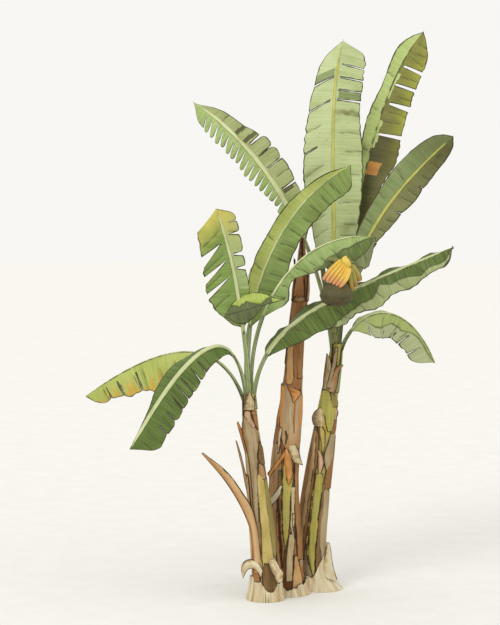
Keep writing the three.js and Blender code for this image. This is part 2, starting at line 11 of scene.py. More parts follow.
import bpy
import numpy as np
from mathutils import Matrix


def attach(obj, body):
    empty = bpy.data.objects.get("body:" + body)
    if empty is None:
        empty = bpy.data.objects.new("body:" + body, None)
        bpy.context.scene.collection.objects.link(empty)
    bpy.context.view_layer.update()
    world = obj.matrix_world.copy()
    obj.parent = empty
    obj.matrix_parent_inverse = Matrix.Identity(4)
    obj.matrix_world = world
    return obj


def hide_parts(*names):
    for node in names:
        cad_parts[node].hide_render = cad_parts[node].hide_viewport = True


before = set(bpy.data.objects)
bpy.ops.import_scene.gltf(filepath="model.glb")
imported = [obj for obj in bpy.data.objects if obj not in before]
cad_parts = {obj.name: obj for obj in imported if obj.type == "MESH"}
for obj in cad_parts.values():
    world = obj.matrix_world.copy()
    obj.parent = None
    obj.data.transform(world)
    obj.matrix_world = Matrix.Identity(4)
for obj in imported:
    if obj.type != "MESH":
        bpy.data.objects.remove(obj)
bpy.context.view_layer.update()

log = logging.getLogger("banana_clump")

Array = np.ndarray
Socket = bpy.types.NodeSocket
Tree = bpy.types.NodeTree
Triple = tuple[float, float, float]
Pairs = tuple[tuple[float, float], ...]

MM = 0.001
GOLDEN = 0.381966  # its multiples spread tones and turns evenly without repeating
SHADED = 0.84  # a surface's own colour, as a share of how it looks in the studio's light
SHARP = 48  # degrees between two faces, from which their edge is a sharp one
NO_EDGE = 1000.0  # stands for the distance from an edge where there is none
WAVES, WAVE_SCALE = 7, 3.2

SLIM = 60.0  # a stem's radius below which its old sheaths lie flatter
BARK_STEP, BARK_COLUMNS = 9, 96
BAND_SLAB, STRIP_SLAB, SKIRT_SLAB, BLADE_SLAB, BRACT_SLAB = 4, 4.5, 2, 2.6, 3

PETIOLE_FOOT = 15.0  # a petiole's radius at its foot
PETIOLE_BLADE = 17.0  # and where the blade starts
RIB_TIP = 9.0  # the rib's radius at the blade's tip
PETIOLE_DEPTH = 90.0  # how far below its stem's top a petiole starts
GATHERED = 0.5  # how far from a stem's axis its petioles start, as a share of its radius
RIB_READINGS = 401  # how many points a rib's length is measured by
RIB_END = 1.006  # where a rib ends, as a share of its curve
NARROWEST = 5.0  # the least width of half a blade
BLADE_STEP = 9.0  # the distance between a blade's columns
PATCH_SWAY = 0.02  # how far a patch's sides sway, as a share of the half's width


# Arithmetic on whole arrays


def unit(v: Array) -> Array:
    """Each vector divided by its own length."""
    return v / np.maximum(np.linalg.norm(v, axis=-1, keepdims=True), 1e-12)


def smooth(x: Array, low: float, high: float) -> Array:
    """A soft step from 0 at low to 1 at high: 3t^2 - 2t^3, with t the share of the way."""
    t = np.clip((x - low) / (high - low), 0.0, 1.0)
    return t * t * (3.0 - 2.0 * t)


def waver(x: Array, seed: int, y: Array | float = 0.0) -> Array:
    """Smooth random waves, about -1 to 1: the sum of seven sines of x and y, over 3.2.

    Args:
        x: where to read them; one wave is about four units long.
        seed: which waves; it draws the sines' pitches and phases.
        y: a second direction.

    Returns:
        The height of the waves at each place.
    """
    draw = np.random.default_rng(abs(seed))
    pitch, lean = draw.uniform(0.7, 3.1, WAVES), draw.uniform(-1.6, 1.6, WAVES)
    phase = draw.uniform(0.0, 6.283, WAVES)
    x, y = np.broadcast_arrays(np.asarray(x, float), np.asarray(y, float))
    return np.sin(x[..., None] * pitch + y[..., None] * lean + phase).sum(-1) / WAVE_SCALE


def bezier(control: Array, t: Array) -> tuple[Array, Array]:
    """A cubic Bezier curve's points and slopes.

    Args:
        control: the four control points.
        t: the parameter at each point.

    Returns:
        The points, (1-t)^3 a + 3(1-t)^2 t b + 3(1-t) t^2 c + t^3 d, and their rates of change.
    """
    a, b, c, d = control
    t = np.asarray(t, float)[..., None]
    s = 1.0 - t
    point = s**3 * a + 3 * s**2 * t * b + 3 * s * t**2 * c + t**3 * d
    slope = 3 * s**2 * (b - a) + 6 * s * t * (c - b) + 3 * t**2 * (d - c)
    return point, slope


def through(points: Array, t: Array) -> Array:
    """A smooth centripetal curve through points, read at shares t of their number.

    Args:
        points: the points to pass, one a row.
        t: where to read the curve, from 0 to 1.

    Returns:
        One point for each t. Between two points it is the cubic with their tangents, which hang on the
        square roots of the distances to the neighbours.
    """
    points = np.asarray(points, float)
    last = len(points) - 1
    padded = np.vstack([2 * points[0] - points[1], points, 2 * points[-1] - points[-2]])
    place = np.clip(np.asarray(t, float), 0.0, 1.0) * last
    i = np.minimum(place.astype(int), last - 1)
    w = (place - i)[..., None]
    p0, p1, p2, p3 = (padded[i + k] for k in range(4))
    pairs = ((p0, p1), (p1, p2), (p2, p3))
    d0, d1, d2 = (np.sqrt(np.linalg.norm(b - a, axis=-1, keepdims=True)) for a, b in pairs)
    m1 = ((p1 - p0) / d0 - (p2 - p0) / (d0 + d1) + (p2 - p1) / d1) * d1
    m2 = ((p2 - p1) / d1 - (p3 - p1) / (d1 + d2) + (p3 - p2) / d2) * d1
    return p1 + m1 * w + (3 * (p2 - p1) - 2 * m1 - m2) * w**2 + (2 * (p1 - p2) + m1 + m2) * w**3


def running_sum(rate: Array, at: Array) -> Array:
    """The integral of rate from the first row on, by trapezoids between the rows' places."""
    step = np.diff(at, axis=0) * (rate[1:] + rate[:-1]) / 2.0
    return np.vstack([np.zeros((1, rate.shape[1])), np.cumsum(step, axis=0)])


def spread(number: Array | float) -> Array | float:
    """A share from 0 to 1 for a whole number, far from its neighbours' shares."""
    return (number * GOLDEN) % 1.0


def grid(down: Array, across: Array) -> tuple[Array, Array]:
    """Two arrays of one shape: one that changes from row to row, and one that changes along each row."""
    first, second = np.meshgrid(down, across, indexing="ij")
    return first, second


def marks(first: Array, second: Array, third: Array | float) -> Array:
    """Three values side by side at each place, spread over the shape that they share."""
    return np.stack(np.broadcast_arrays(first, second, third), -1)


def capped(rings: Array) -> Array:
    """A tube's values point by point, and then the means of its first and of its last ring."""
    return np.vstack([rings.reshape(-1, 3), rings[0].mean(0), rings[-1].mean(0)])


def rings_round(centre: Array, aside: Array, angle: Array, radius: Array) -> Array:
    """Rings of points round a line: centre + radius (cos(angle) right + sin(angle) up).

    Args:
        centre: the line's points.
        aside: a direction; right is square to it and to the line, and up is square to right and the line.
        angle: the angle of each point of a ring.
        radius: the radius at each point of each ring.

    Returns:
        Ring, point and coordinate.
    """
    along = unit(np.gradient(centre, axis=0))
    right = unit(np.cross(aside, along))
    up = np.cross(right, along)
    point = centre[:, None] + (radius * np.cos(angle))[..., None] * right[:, None]
    return point + (radius * np.sin(angle))[..., None] * up[:, None]


# Meshes


@dataclass
class Patchwork:
    """A mesh in the making: points, faces, the finish of each face, and two vectors of marks at each point.

    lay holds metres along, metres across and a tone from 0 to 1. age holds the metres to the nearest edge,
    how much painted shade of a crease or groove lies there (with a few dark stains), and how ripe or worn the
    place is, which in a few places stands for painted shade instead.
    """

    points: list[Array] = field(default_factory=list)
    faces: list[Array] = field(default_factory=list)
    finish: list[Array] = field(default_factory=list)
    lay: list[Array] = field(default_factory=list)
    age: list[Array] = field(default_factory=list)
    count: int = 0

    def add(self, points: Array, faces: Array, finish: Array | int, lay: Array, age: Array) -> None:
        """Takes in one surface whose faces count from its own first point.

        Args:
            points: its points, in metres.
            faces: the numbers of each face's four points.
            finish: the finish of each face, or of all.
            lay: the points' lay.
            age: the points' age.
        """
        self.points.append(points)
        self.faces.append(faces + self.count)
        self.finish.append(np.broadcast_to(finish, len(faces)))
        self.lay.append(lay)
        self.age.append(age)
        self.count += len(points)

    def add_slab(
        self,
        points: Array,
        faces: Array,
        thickness: float,
        finish: Array | int,
        under: Array | int,
        lay: Array,
        age: Array,
    ) -> None:
        """Takes in an open sheet as a closed slab: both its sides, and a rim along its open edges.

        Args:
            points: the sheet's points.
            faces: its four-cornered faces, anticlockwise from above.
            thickness: millimetres from side to side, half of it along each point's normal, either way.
            finish: the finish of each face above.
            under: the finish of each face below.
            lay: the points' lay.
            age: the points' age.
        """
        lay, age = (np.broadcast_to(x, points.shape).reshape(-1, 3) for x in (lay, age))
        points = points.reshape(-1, 3)
        corners = points[faces]
        across = np.cross(corners[:, 2] - corners[:, 0], corners[:, 3] - corners[:, 1])
        normal = np.zeros_like(points)
        for k in range(4):
            np.add.at(normal, faces[:, k], across)
        rise = unit(normal) * (thickness * MM) / 2.0
        n = len(points)
        edges = np.vstack([faces[:, [k, (k + 1) % 4]] for k in range(4)])
        owner = np.tile(np.arange(len(faces)), 4)
        key, back = edges[:, 0] * n + edges[:, 1], edges[:, 1] * n + edges[:, 0]
        open_ = ~np.isin(key, back)
        a, b = edges[open_].T
        rim = np.stack([b, a, a + n, b + n], 1)
        finish = np.broadcast_to(finish, len(faces))
        under = np.broadcast_to(under, len(faces))
        self.add(
            np.vstack([points + rise, points - rise]),
            np.vstack([faces, faces[:, ::-1] + n, rim]),
            np.concatenate([finish, under, finish[owner[open_]]]),
            np.vstack([lay, lay]),
            np.vstack([age, age]),
        )

    def add_tube(self, rings: Array, finish: Array | int, lay: Array, age: Array) -> None:
        """Takes in rings of points, joined ring to ring and closed at both ends.

        Args:
            rings: ring, point and coordinate; each ring runs anticlockwise seen from the tube's far end.
            finish: the finish of all its faces, or of each one, ring by ring and then the two ends'.
            lay: the points' lay.
            age: the points' age.
        """
        lay, age = (np.broadcast_to(x, rings.shape) for x in (lay, age))
        rows, across, _ = rings.shape
        index = np.arange(rows * across).reshape(rows, across)
        nxt = np.roll(index, -1, axis=1)
        sides = np.stack([index[:-1], nxt[:-1], nxt[1:], index[1:]], -1).reshape(-1, 4)
        foot, tip = rows * across, rows * across + 1
        first, last = index[0], index[-1]
        ends = np.vstack(
            [
                np.stack([nxt[0][::2], first[::2], np.full(across // 2, foot), nxt[0][1::2]], 1),
                np.stack([last[::2], nxt[-1][::2], nxt[-1][1::2], np.full(across // 2, tip)], 1),
            ]
        )
        self.add(capped(rings), np.vstack([sides, ends]), finish, capped(lay), capped(age))

    def build(self, name: str, tones: list[Enum], slot: str, *nodes: str) -> bpy.types.Object:
        """Makes the object, smooth but for its sharp edges, and lets it stand for CAD nodes.

        Args:
            name: the object's name.
            tones: the finishes that the faces count by.
            slot: the record's material slot; not used.
            nodes: the CAD nodes that it replaces.

        Returns:
            The object, riding on the root body.
        """
        points, faces = np.vstack(self.points), np.vstack(self.faces)
        mesh = bpy.data.meshes.new(name)
        mesh.vertices.add(len(points))
        mesh.vertices.foreach_set("co", points.astype(np.float32).ravel())
        mesh.loops.add(faces.size)
        mesh.loops.foreach_set("vertex_index", faces.astype(np.int32).ravel())
        mesh.polygons.add(len(faces))
        mesh.polygons.foreach_set("loop_start", np.arange(0, faces.size, 4, dtype=np.int32))
        for tone in tones:
            mesh.materials.append(tone.value.material())
        mesh.polygons.foreach_set("material_index", np.concatenate(self.finish).astype(np.int32))
        mesh.update(calc_edges=True)
        for mark, rows in (("lay", self.lay), ("age", self.age)):
            values = np.vstack(rows).astype(np.float32).ravel()
            mesh.attributes.new(mark, "FLOAT_VECTOR", "POINT").data.foreach_set("vector", values)
        mesh.shade_smooth()
        mesh.set_sharp_from_angle(angle=np.radians(SHARP))
        piece = bpy.data.objects.new(name, mesh)
        bpy.context.scene.collection.objects.link(piece)
        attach(piece, "root")
        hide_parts(*nodes)
        log.info("%s: %d points, %d faces, for %s", name, len(points), len(faces), ", ".join(nodes))
        return piece


def grid_faces(rows: int, columns: int) -> Array:
    """A grid's four-cornered faces, anticlockwise where its columns run to the right and its rows up."""
    index = np.arange(rows * columns).reshape(rows, columns)
    return cells(index).reshape(-1, 4)


def cells(index: Array) -> Array:
    """The four corners of each cell of a grid of point numbers."""
    return np.stack([index[:-1, :-1], index[:-1, 1:], index[1:, 1:], index[1:, :-1]], -1)


def place_of(tone: Enum, tones: list[Enum]) -> int:
    """The place of a finish among a piece's finishes, where it is put if it is new.

    Args:
        tone: the finish to look up.
        tones: the piece's finishes so far.

    Returns:
        Its place, counted from 0.
    """
    if tone not in tones:
        tones.append(tone)
    return tones.index(tone)


# Finishes


def paint(code: str, share: float = SHADED) -> tuple[float, float, float, float]:
    """A colour written as #rrggbb, as a share of linear light for a shader.

    Args:
        code: the colour.
        share: what is kept of it.

    Returns:
        Red, green, blue and alpha.
    """
    c = np.array([int(code[i : i + 2], 16) for i in (1, 3, 5)]) / 255.0
    c = np.where(c <= 0.04045, c / 12.92, ((c + 0.055) / 1.055) ** 2.4) * share
    return (float(c[0]), float(c[1]), float(c[2]), 1.0)


@dataclass
class Wiring:
    """Places shader nodes in one tree and joins them."""

    tree: Tree

    def place(self, kind: str, **settings: object) -> bpy.types.Node:
        """A new node of that kind with those settings.

        Args:
            kind: the node's type in Blender.
            settings: its properties, by name.

        Returns:
            The node.
        """
        node = self.tree.nodes.new(kind)
        for key, value in settings.items():
            setattr(node, key, value)
        return node

    def feed(self, socket: Socket, source: object) -> None:
        """Joins a socket to another, or sets its own value.

        Args:
            socket: an input.
            source: another node's output, or a value.
        """
        if isinstance(source, Socket):
            self.tree.links.new(source, socket)
        else:
            socket.default_value = source

    def sum(self, operation: str, a: object, b: object) -> Socket:
        """One step of arithmetic, such as ADD.

        Args:
            operation: the step's name in Blender.
            a: the first value.
            b: the second one.

        Returns:
            The result.
        """
        node = self.place("ShaderNodeMath", operation=operation)
        for socket, source in zip(node.inputs, (a, b)):
            self.feed(socket, source)
        return node.outputs[0]

    def times(self, a: object, b: object) -> Socket:
        """One value times another."""
        return self.sum("MULTIPLY", a, b)

    def span(self, value: object, low: float, high: float, start: float = 0.0, end: float = 1.0) -> Socket:
        """A soft step from start where the value is low to end where it is high.

        Args:
            value: what the step is read by.
            low: where it begins.
            high: where it ends.
            start: the result up to low.
            end: the result from high on.

        Returns:
            The result.
        """
        node = self.place("ShaderNodeMapRange", interpolation_type="SMOOTHSTEP")
        keys = ("Value", "From Min", "From Max", "To Min", "To Max")
        for key, source in zip(keys, (value, low, high, start, end)):
            self.feed(node.inputs[key], source)
        return node.outputs["Result"]

    def mix(self, share: object, a: object, b: object) -> Socket:
        """Two colours mixed by a share.

        Args:
            share: how much of the second.
            a: the first colour.
            b: the second one.

        Returns:
            The mixed colour.
        """
        node = self.place("ShaderNodeMix", data_type="RGBA")
        for index, source in ((0, share), (6, a), (7, b)):
            self.feed(node.inputs[index], source)
        return node.outputs[2]

    def noise(self, vector: object, scale: float, detail: float = 3.0, rough: float = 0.55) -> Socket:
        """Cloudy noise, from about 0.2 to 0.8.

        Args:
            vector: where it is read.
            scale: how fine it is.
            detail: how many finer layers it has.
            rough: how strong these are.

        Returns:
            The noise.
        """
        node = self.place("ShaderNodeTexNoise")
        for key, source in (("Vector", vector), ("Scale", scale), ("Detail", detail), ("Roughness", rough)):
            self.feed(node.inputs[key], source)
        return node.outputs["Fac"]

    def split(self, vector: object) -> list[Socket]:
        """A vector's three parts.

        Args:
            vector: the vector.

        Returns:
            Its x, y and z.
        """
        node = self.place("ShaderNodeSeparateXYZ")
        self.feed(node.inputs[0], vector)
        return list(node.outputs)

    def stretched(self, vector: object, by: Triple) -> Socket:
        """A vector with each part multiplied.

        Args:
            vector: the vector.
            by: what x, y and z are multiplied by.

        Returns:
            The result.
        """
        node = self.place("ShaderNodeVectorMath", operation="MULTIPLY")
        self.feed(node.inputs[0], vector)
        node.inputs[1].default_value = by
        return node.outputs[0]

    def mark(self, name: str) -> Socket:
        """The piece's own marks of that name."""
        return self.place("ShaderNodeAttribute", attribute_name=name).outputs["Vector"]

    def use(self, group: Tree, **inputs: object) -> dict[str, Socket]:
        """Places a node group with its inputs, and gives its outputs by name.

        Args:
            group: the node group.
            inputs: a value or an output for each input.

        Returns:
            The outputs, by name.
        """
        node = self.place("ShaderNodeGroup", node_tree=group)
        for key, source in inputs.items():
            self.feed(node.inputs[key], source)
        return {output.name: output for output in node.outputs}


@dataclass(frozen=True)
class Strokes:
    """Noise drawn out one way: how it is stretched, how fine it is, and the values between which it shows."""

    stretch: Triple
    detail: float
    rough: float
    low: float
    high: float


class Effect(Enum):
    """Effects that several finishes share, each a node group that is made once."""

    VEINS = "leaf veins"
    FIBRES = "sheath fibres"
    MOTTLING = "mottling"
    DRY_EDGE = "dry edge"

    def group(self) -> Tree:
        """The node group, made when it is first asked for.

        Returns:
            The group.
        """
        found = bpy.data.node_groups.get(self.value)
        if found is not None:
            return found
        tree = bpy.data.node_groups.new(self.value, "ShaderNodeTree")
        makers = {
            Effect.VEINS: self._veins,
            Effect.FIBRES: self._fibres,
            Effect.MOTTLING: self._mottling,
            Effect.DRY_EDGE: self._dry_edge,
        }
        makers[self](tree)
        return tree

    @staticmethod
    def _sockets(
        tree: Tree, inputs: dict[str, str], outputs: dict[str, str]
    ) -> tuple[dict, dict]:
        """Gives a group its named sockets, and returns those inside it.

        Args:
            tree: the group.
            inputs: its inputs' names and types.
            outputs: its outputs' names and types.

        Returns:
            The inputs and the outputs, by name.
        """
        for way, names in (("INPUT", inputs), ("OUTPUT", outputs)):
            for name, kind in names.items():
                tree.interface.new_socket(name=name, in_out=way, socket_type=f"NodeSocket{kind}")
        source, sink = tree.nodes.new("NodeGroupInput"), tree.nodes.new("NodeGroupOutput")
        return {s.name: s for s in source.outputs if s.name}, {s.name: s for s in sink.inputs if s.name}

    def _strokes(self, tree: Tree, fine: Strokes, broad: Strokes, weight: float) -> None:
        """Fine threads on broad bands, and the height that they make, in which a band has its weight.

        Args:
            tree: the group that is made.
            fine: the threads.
            broad: the bands.
            weight: a band's share of the height.
        """
        outputs = {"Threads": "Float", "Bands": "Float", "Height": "Float"}
        given, made = self._sockets(tree, {"Lay": "Vector"}, outputs)
        w = Wiring(tree)
        threads, bands = (
            w.noise(w.stretched(given["Lay"], strokes.stretch), 1.0, strokes.detail, strokes.rough)
            for strokes in (fine, broad)
        )
        w.feed(made["Threads"], w.span(threads, fine.low, fine.high))
        w.feed(made["Bands"], w.span(bands, broad.low, broad.high))
        w.feed(made["Height"], w.sum("ADD", threads, w.times(bands, weight)))

    def _veins(self, tree: Tree) -> None:
        """Side veins, drawn out from the rib to the margin."""
        fine = Strokes((150.0, 3.0, 9.0), 2.0, 0.5, 0.42, 0.62)
        self._strokes(tree, fine, Strokes((16.0, 1.6, 9.0), 3.0, 0.6, 0.35, 0.65), 1.5)

    def _fibres(self, tree: Tree) -> None:
        """Fibres, drawn out along the stem."""
        fine = Strokes((5.0, 330.0, 7.0), 3.0, 0.6, 0.44, 0.66)
        self._strokes(tree, fine, Strokes((1.6, 42.0, 7.0), 3.0, 0.6, 0.36, 0.64), 1.2)

    def _mottling(self, tree: Tree) -> None:
        """Soft blotches, and small specks where fine noise is at its highest.

        Args:
            tree: the group that is made.
        """
        inputs = {"Place": "Vector", "Size": "Float"}
        given, made = self._sockets(tree, inputs, {"Blotch": "Float", "Speck": "Float"})
        w = Wiring(tree)
        w.feed(made["Blotch"], w.span(w.noise(given["Place"], given["Size"], 4.0, 0.6), 0.36, 0.66))
        w.feed(made["Speck"], w.span(w.noise(given["Place"], 60.0, 2.0, 0.5), 0.66, 0.74))

    def _dry_edge(self, tree: Tree) -> None:
        """A dry edge whose width wavers: 1 at the edge, 0 beyond its width.

        Args:
            tree: the group that is made.
        """
        inputs = {"Edge": "Float", "Width": "Float", "Place": "Vector"}
        given, made = self._sockets(tree, inputs, {"Mask": "Float"})
        w = Wiring(tree)
        wander = w.span(w.noise(given["Place"], 14.0, 3.0, 0.6), 0.3, 0.7, 0.55, 1.5)
        share = w.sum("DIVIDE", given["Edge"], w.times(given["Width"], wander))
        w.feed(made["Mask"], w.span(share, 0.75, 1.2, 1.0, 0.0))


@dataclass(frozen=True)
class Grain:
    """How strongly a finish shows its parts: the share of each colour, the relief and the gloss."""

    lines: Effect
    blotch_size: float
    blotch: float
    bands: float
    threads: float
    tone: float
    speck: float
    relief: float
    specular: float
    # the share of painted shade in creases and grooves, and of the dark stains in the same mark
    crease_shade_and_stain: float = 0.85
    edge: float = 0.92
    unripe: float = 0.75
    duller: float = 0.14
    bump: float = 0.6


@dataclass(frozen=True)
class Finish:
    """A surface of the plant: a body colour with blotches, lines along its grain, painted shade in creases,
    and a dry edge.
    """

    name: str
    body: str
    shade: str
    line: str
    blush: str
    edge: str
    # the colour of painted shade in creases and grooves, also used for specks and dark stains
    crease_shade_and_stain: str
    edge_width: float
    roughness: float
    grain: Grain

    def material(self) -> bpy.types.Material:
        """The material, made when it is first asked for.

        The piece's lay gives the grain's direction and a tone that sets it off from its neighbours. Its age
        gives the distance from the edge, the painted shade of creases and grooves, and where it has blushed
        or worn.

        Returns:
            The material.
        """
        found = bpy.data.materials.get(self.name)
        if found is not None:
            return found
        material = bpy.data.materials.new(self.name)
        material.use_nodes = True
        material.diffuse_color = paint(self.body)
        tree, grain = material.node_tree, self.grain
        w = Wiring(tree)
        shader = tree.nodes["Principled BSDF"]
        place = w.place("ShaderNodeTexCoord").outputs["Object"]
        lay, age = w.mark("lay"), w.mark("age")
        _, _, tone = w.split(lay)
        edge, crease_shade_and_stain, blush = w.split(age)
        lines = w.use(grain.lines.group(), Lay=lay)
        mottle = w.use(Effect.MOTTLING.group(), Place=place, Size=grain.blotch_size)
        dry = w.use(Effect.DRY_EDGE.group(), Edge=edge, Width=self.edge_width * MM, Place=place)["Mask"]
        shares = (
            (w.times(mottle["Blotch"], grain.blotch), self.shade),
            (w.times(lines["Bands"], grain.bands), self.shade),
            (w.times(lines["Threads"], grain.threads), self.line),
            (w.span(tone, 0.0, 1.0, 0.0, grain.tone), self.line),
            (w.times(blush, w.span(mottle["Blotch"], 0.0, 1.0, 1.0, grain.unripe)), self.blush),
            # specks take the crease-shade colour
            (w.times(mottle["Speck"], grain.speck), self.crease_shade_and_stain),
            # painted shade in creases, grooves and between parts, and dark stains on ribs and fruit tips
            (w.times(crease_shade_and_stain, grain.crease_shade_and_stain), self.crease_shade_and_stain),
            (w.times(dry, grain.edge), self.edge),
        )
        colour = paint(self.body)
        for share, code in shares:
            colour = w.mix(share, colour, paint(code))
        w.feed(shader.inputs["Base Color"], colour)
        dull = w.span(mottle["Blotch"], 0.0, 1.0, self.roughness, self.roughness + grain.duller)
        w.feed(shader.inputs["Roughness"], dull)
        shader.inputs["Specular IOR Level"].default_value = grain.specular
        bump = w.place("ShaderNodeBump")
        bump.inputs["Strength"].default_value = grain.bump
        bump.inputs["Distance"].default_value = grain.relief
        w.feed(bump.inputs["Height"], lines["Height"])
        w.feed(shader.inputs["Normal"], bump.outputs[0])
        return material


@dataclass(frozen=True)
class LeafFinish(Finish):
    """A leaf: waxy green with side veins, and a blush where it ripens or scorches; on the pale green and the
    bright strip the blush is painted shade beside creases.
    """

    blush: str = "#cdb455"
    edge: str = "#3e3a20"
    crease_shade_and_stain: str = "#4a4d25"
    edge_width: float = 8.5
    roughness: float = 0.5
    grain: Grain = Grain(
        Effect.VEINS, blotch_size=5.0, blotch=0.5, bands=0.4, threads=0.5, tone=0.3, speck=0.35,
        relief=0.002, specular=0.35,
    )


@dataclass(frozen=True)
class SheathFinish(Finish):
    """A leaf sheath on the stem: fibres along it, with worn places and dark edges."""

    blush: str = "#8a6a42"
    edge: str = "#35281a"
    crease_shade_and_stain: str = "#35281a"
    edge_width: float = 7.0
    roughness: float = 0.72
    grain: Grain = Grain(
        Effect.FIBRES, blotch_size=7.0, blotch=0.4, bands=0.85, threads=0.6, tone=0.35, speck=0.5,
        relief=0.003, specular=0.25,
    )


@dataclass(frozen=True)
class FruitFinish(Finish):
    """A ripening finger or a bract: a smooth skin with faint streaks and flecks, and a darker tip."""

    edge: str = "#5b3f1c"
    crease_shade_and_stain: str = "#5b3f1c"
    edge_width: float = 4.0
    roughness: float = 0.42
    grain: Grain = Grain(
        Effect.FIBRES, blotch_size=22.0, blotch=0.5, bands=0.35, threads=0.2, tone=0.35, speck=0.8,
        relief=0.001, specular=0.5,
    )


class LeafTone(Enum):
    """The greens, olives and yellows of the leaves."""

    LIME = LeafFinish("leaf lime", "#afc05e", "#949a45", "#cfd477", blush="#d3a63c")
    DEEP = LeafFinish("leaf deep green", "#5a722b", "#44591d", "#7b9246", blush="#a6b45c")
    SPRING = LeafFinish("leaf spring green", "#7f9c43", "#5f7b2d", "#a4ba6e", blush="#d6cd63")
    SPRING_PALE = LeafFinish("leaf pale spring green", "#a5b976", "#8ba35d", "#bccb90", blush="#d8cc62")
    LOBE = LeafFinish("leaf lobe", "#abbe53", "#8ca244", "#c8d56e")
    LOBE_UNDER = LeafFinish("leaf lobe underside", "#5f6c3d", "#485433", "#77834f")
    MEADOW = LeafFinish("leaf meadow green", "#8ca455", "#6c823f", "#a8bd6e")
    FOLD = LeafFinish("leaf folded margin", "#c6d16f", "#b2bf5c", "#dae492")
    SOFT = LeafFinish("leaf soft green", "#96ae63", "#7f9851", "#b4c981")
    UNDER_OLIVE = LeafFinish("leaf olive underside", "#7d8653", "#6a7145", "#8f9868")
    FOREST = LeafFinish("leaf forest green", "#5d6f2c", "#40501e", "#819848")
    UNDER_PALE = LeafFinish("leaf pale underside", "#a5b076", "#8f9962", "#c0cd92")
    COMB = LeafFinish("leaf comb green", "#a3b96a", "#83a04c", "#c6d592", edge_width=5.0)
    COMB_BROAD = LeafFinish("leaf comb broad side", "#a2ac6b", "#8a9359", "#bbc389")
    # a dark olive that stands for painted shade in folds
    FOLD_DARK = LeafFinish("leaf dark fold", "#5c5e32", "#3f3d1e", "#747640")
    # its dark olive blush is painted shade beside creases
    PALE = LeafFinish("leaf pale green", "#c2d093", "#a4b070", "#d5dfab", crease_shade_and_stain="#6c7340", blush="#7f8448")
    OLIVE = LeafFinish("leaf olive", "#7d7b3d", "#5c5a2e", "#98993f", blush="#a3a637")
    # its dark blush is painted shade beside a crease
    BRIGHT = LeafFinish("leaf bright strip", "#bdce7d", "#a3b665", "#cddd92", blush="#7d8046")
    UMBER = LeafFinish("leaf umber", "#4c491a", "#353211", "#656127", blush="#85832f")
    SCORCHED = LeafFinish("leaf scorched", "#c28233", "#9c6424", "#d79c4c")
    SAGE = LeafFinish("leaf sage", "#87985d", "#6b7b45", "#9eae74", blush="#5f6231")
    TAN_OLIVE = LeafFinish("leaf tan olive", "#868a52", "#6a6d3a", "#a3a66f", blush="#514e1e")
    STRIP = LeafFinish("leaf strip green", "#b1c170", "#97a858", "#c9d789")
    UNDER_GREY = LeafFinish("leaf grey underside", "#bdc691", "#a5ae79", "#d0d8a9")
    UNDER = LeafFinish("leaf underside", "#98a674", "#84915f", "#b3bf90")
    RIB = LeafFinish("leaf rib", "#cfd79b", "#a9b273", "#e6eabb", edge="#5d6133", edge_width=5.0)
    RIB_YELLOW = LeafFinish("leaf yellow rib", "#c3c254", "#9a9c41", "#dcdb7c", edge="#5c5a26", edge_width=5)
    PETIOLE = LeafFinish("petiole", "#a3b07a", "#7f8b57", "#c0cb98", edge="#3f4526", edge_width=6.0)
    PETIOLE_DARK = LeafFinish("petiole dark", "#7e8550", "#656b3d", "#989f6a", edge="#35371c", edge_width=6.0)


class SheathTone(Enum):
    """The greens, tans and browns of the stems."""

    OCHRE = SheathFinish("sheath ochre", "#cfb664", "#ae9445", "#e2cf8e", blush="#9c8a40")
    GREEN = SheathFinish("sheath yellow green", "#b5ab50", "#919044", "#cfc67c", blush="#c4a540")
    OLIVE = SheathFinish("sheath olive", "#8d8048", "#6b5f33", "#ab9c5c", blush="#a39048")
    TAN = SheathFinish("sheath tan", "#c2a570", "#96764a", "#dcc698", blush="#9c6c34")
    GREY = SheathFinish("sheath grey tan", "#baa47c", "#8a7452", "#d3c29c", blush="#946c3c")
    BROWN = SheathFinish("sheath brown", "#a0703c", "#6b4523", "#c99a62", blush="#70441c")
    DARK = SheathFinish("sheath dark", "#7d5f38", "#513c22", "#9c7d4c")
    RUST = SheathFinish("sheath rust", "#a4703f", "#754b29", "#c99563", blush="#8a5a30")
    PEACH = SheathFinish("sheath peach", "#d6ab72", "#b58247", "#e8c99a", blush="#b26f26")
    FAWN = SheathFinish("sheath fawn", "#bc9c72", "#8a6740", "#d8bd92", blush="#a8682c")
    ORANGE = SheathFinish("sheath orange", "#d19043", "#a86d2d", "#e6b070", blush="#a8622a")
    PINK = SheathFinish("sheath pink", "#d9ac86", "#b1825b", "#e9caa6")
    STRAW = SheathFinish("sheath straw", "#d6c192", "#b09a68", "#e8d9b4")
    CREAM = SheathFinish("sheath cream", "#e5dab4", "#c4b389", "#f2ebd0", blush="#c39a66")
    LEAFY = SheathFinish("sheath leaf green", "#8d9559", "#6b7341", "#a9b07c", roughness=0.6)
    STALK = SheathFinish("bunch stalk", "#8f9a55", "#6e7840", "#aab374", roughness=0.6)


class FruitTone(Enum):
    """The colours of the bunch."""

    CROWN = FruitFinish("fruit crown yellow", "#ecd048", "#d9ae34", "#f2df78", "#e0b93a")
    YELLOW = FruitFinish("fruit yellow", "#ecc039", "#dc9c2a", "#f4da6c", "#da9468", crease_shade_and_stain="#6b4a12")
    OLIVE = FruitFinish("fruit olive", "#ada23e", "#8a8230", "#c2b85a", "#b07c34")
    BRACT = FruitFinish("bract olive", "#585224", "#3a3614", "#716b35", "#37330f", roughness=0.6)


# Stems


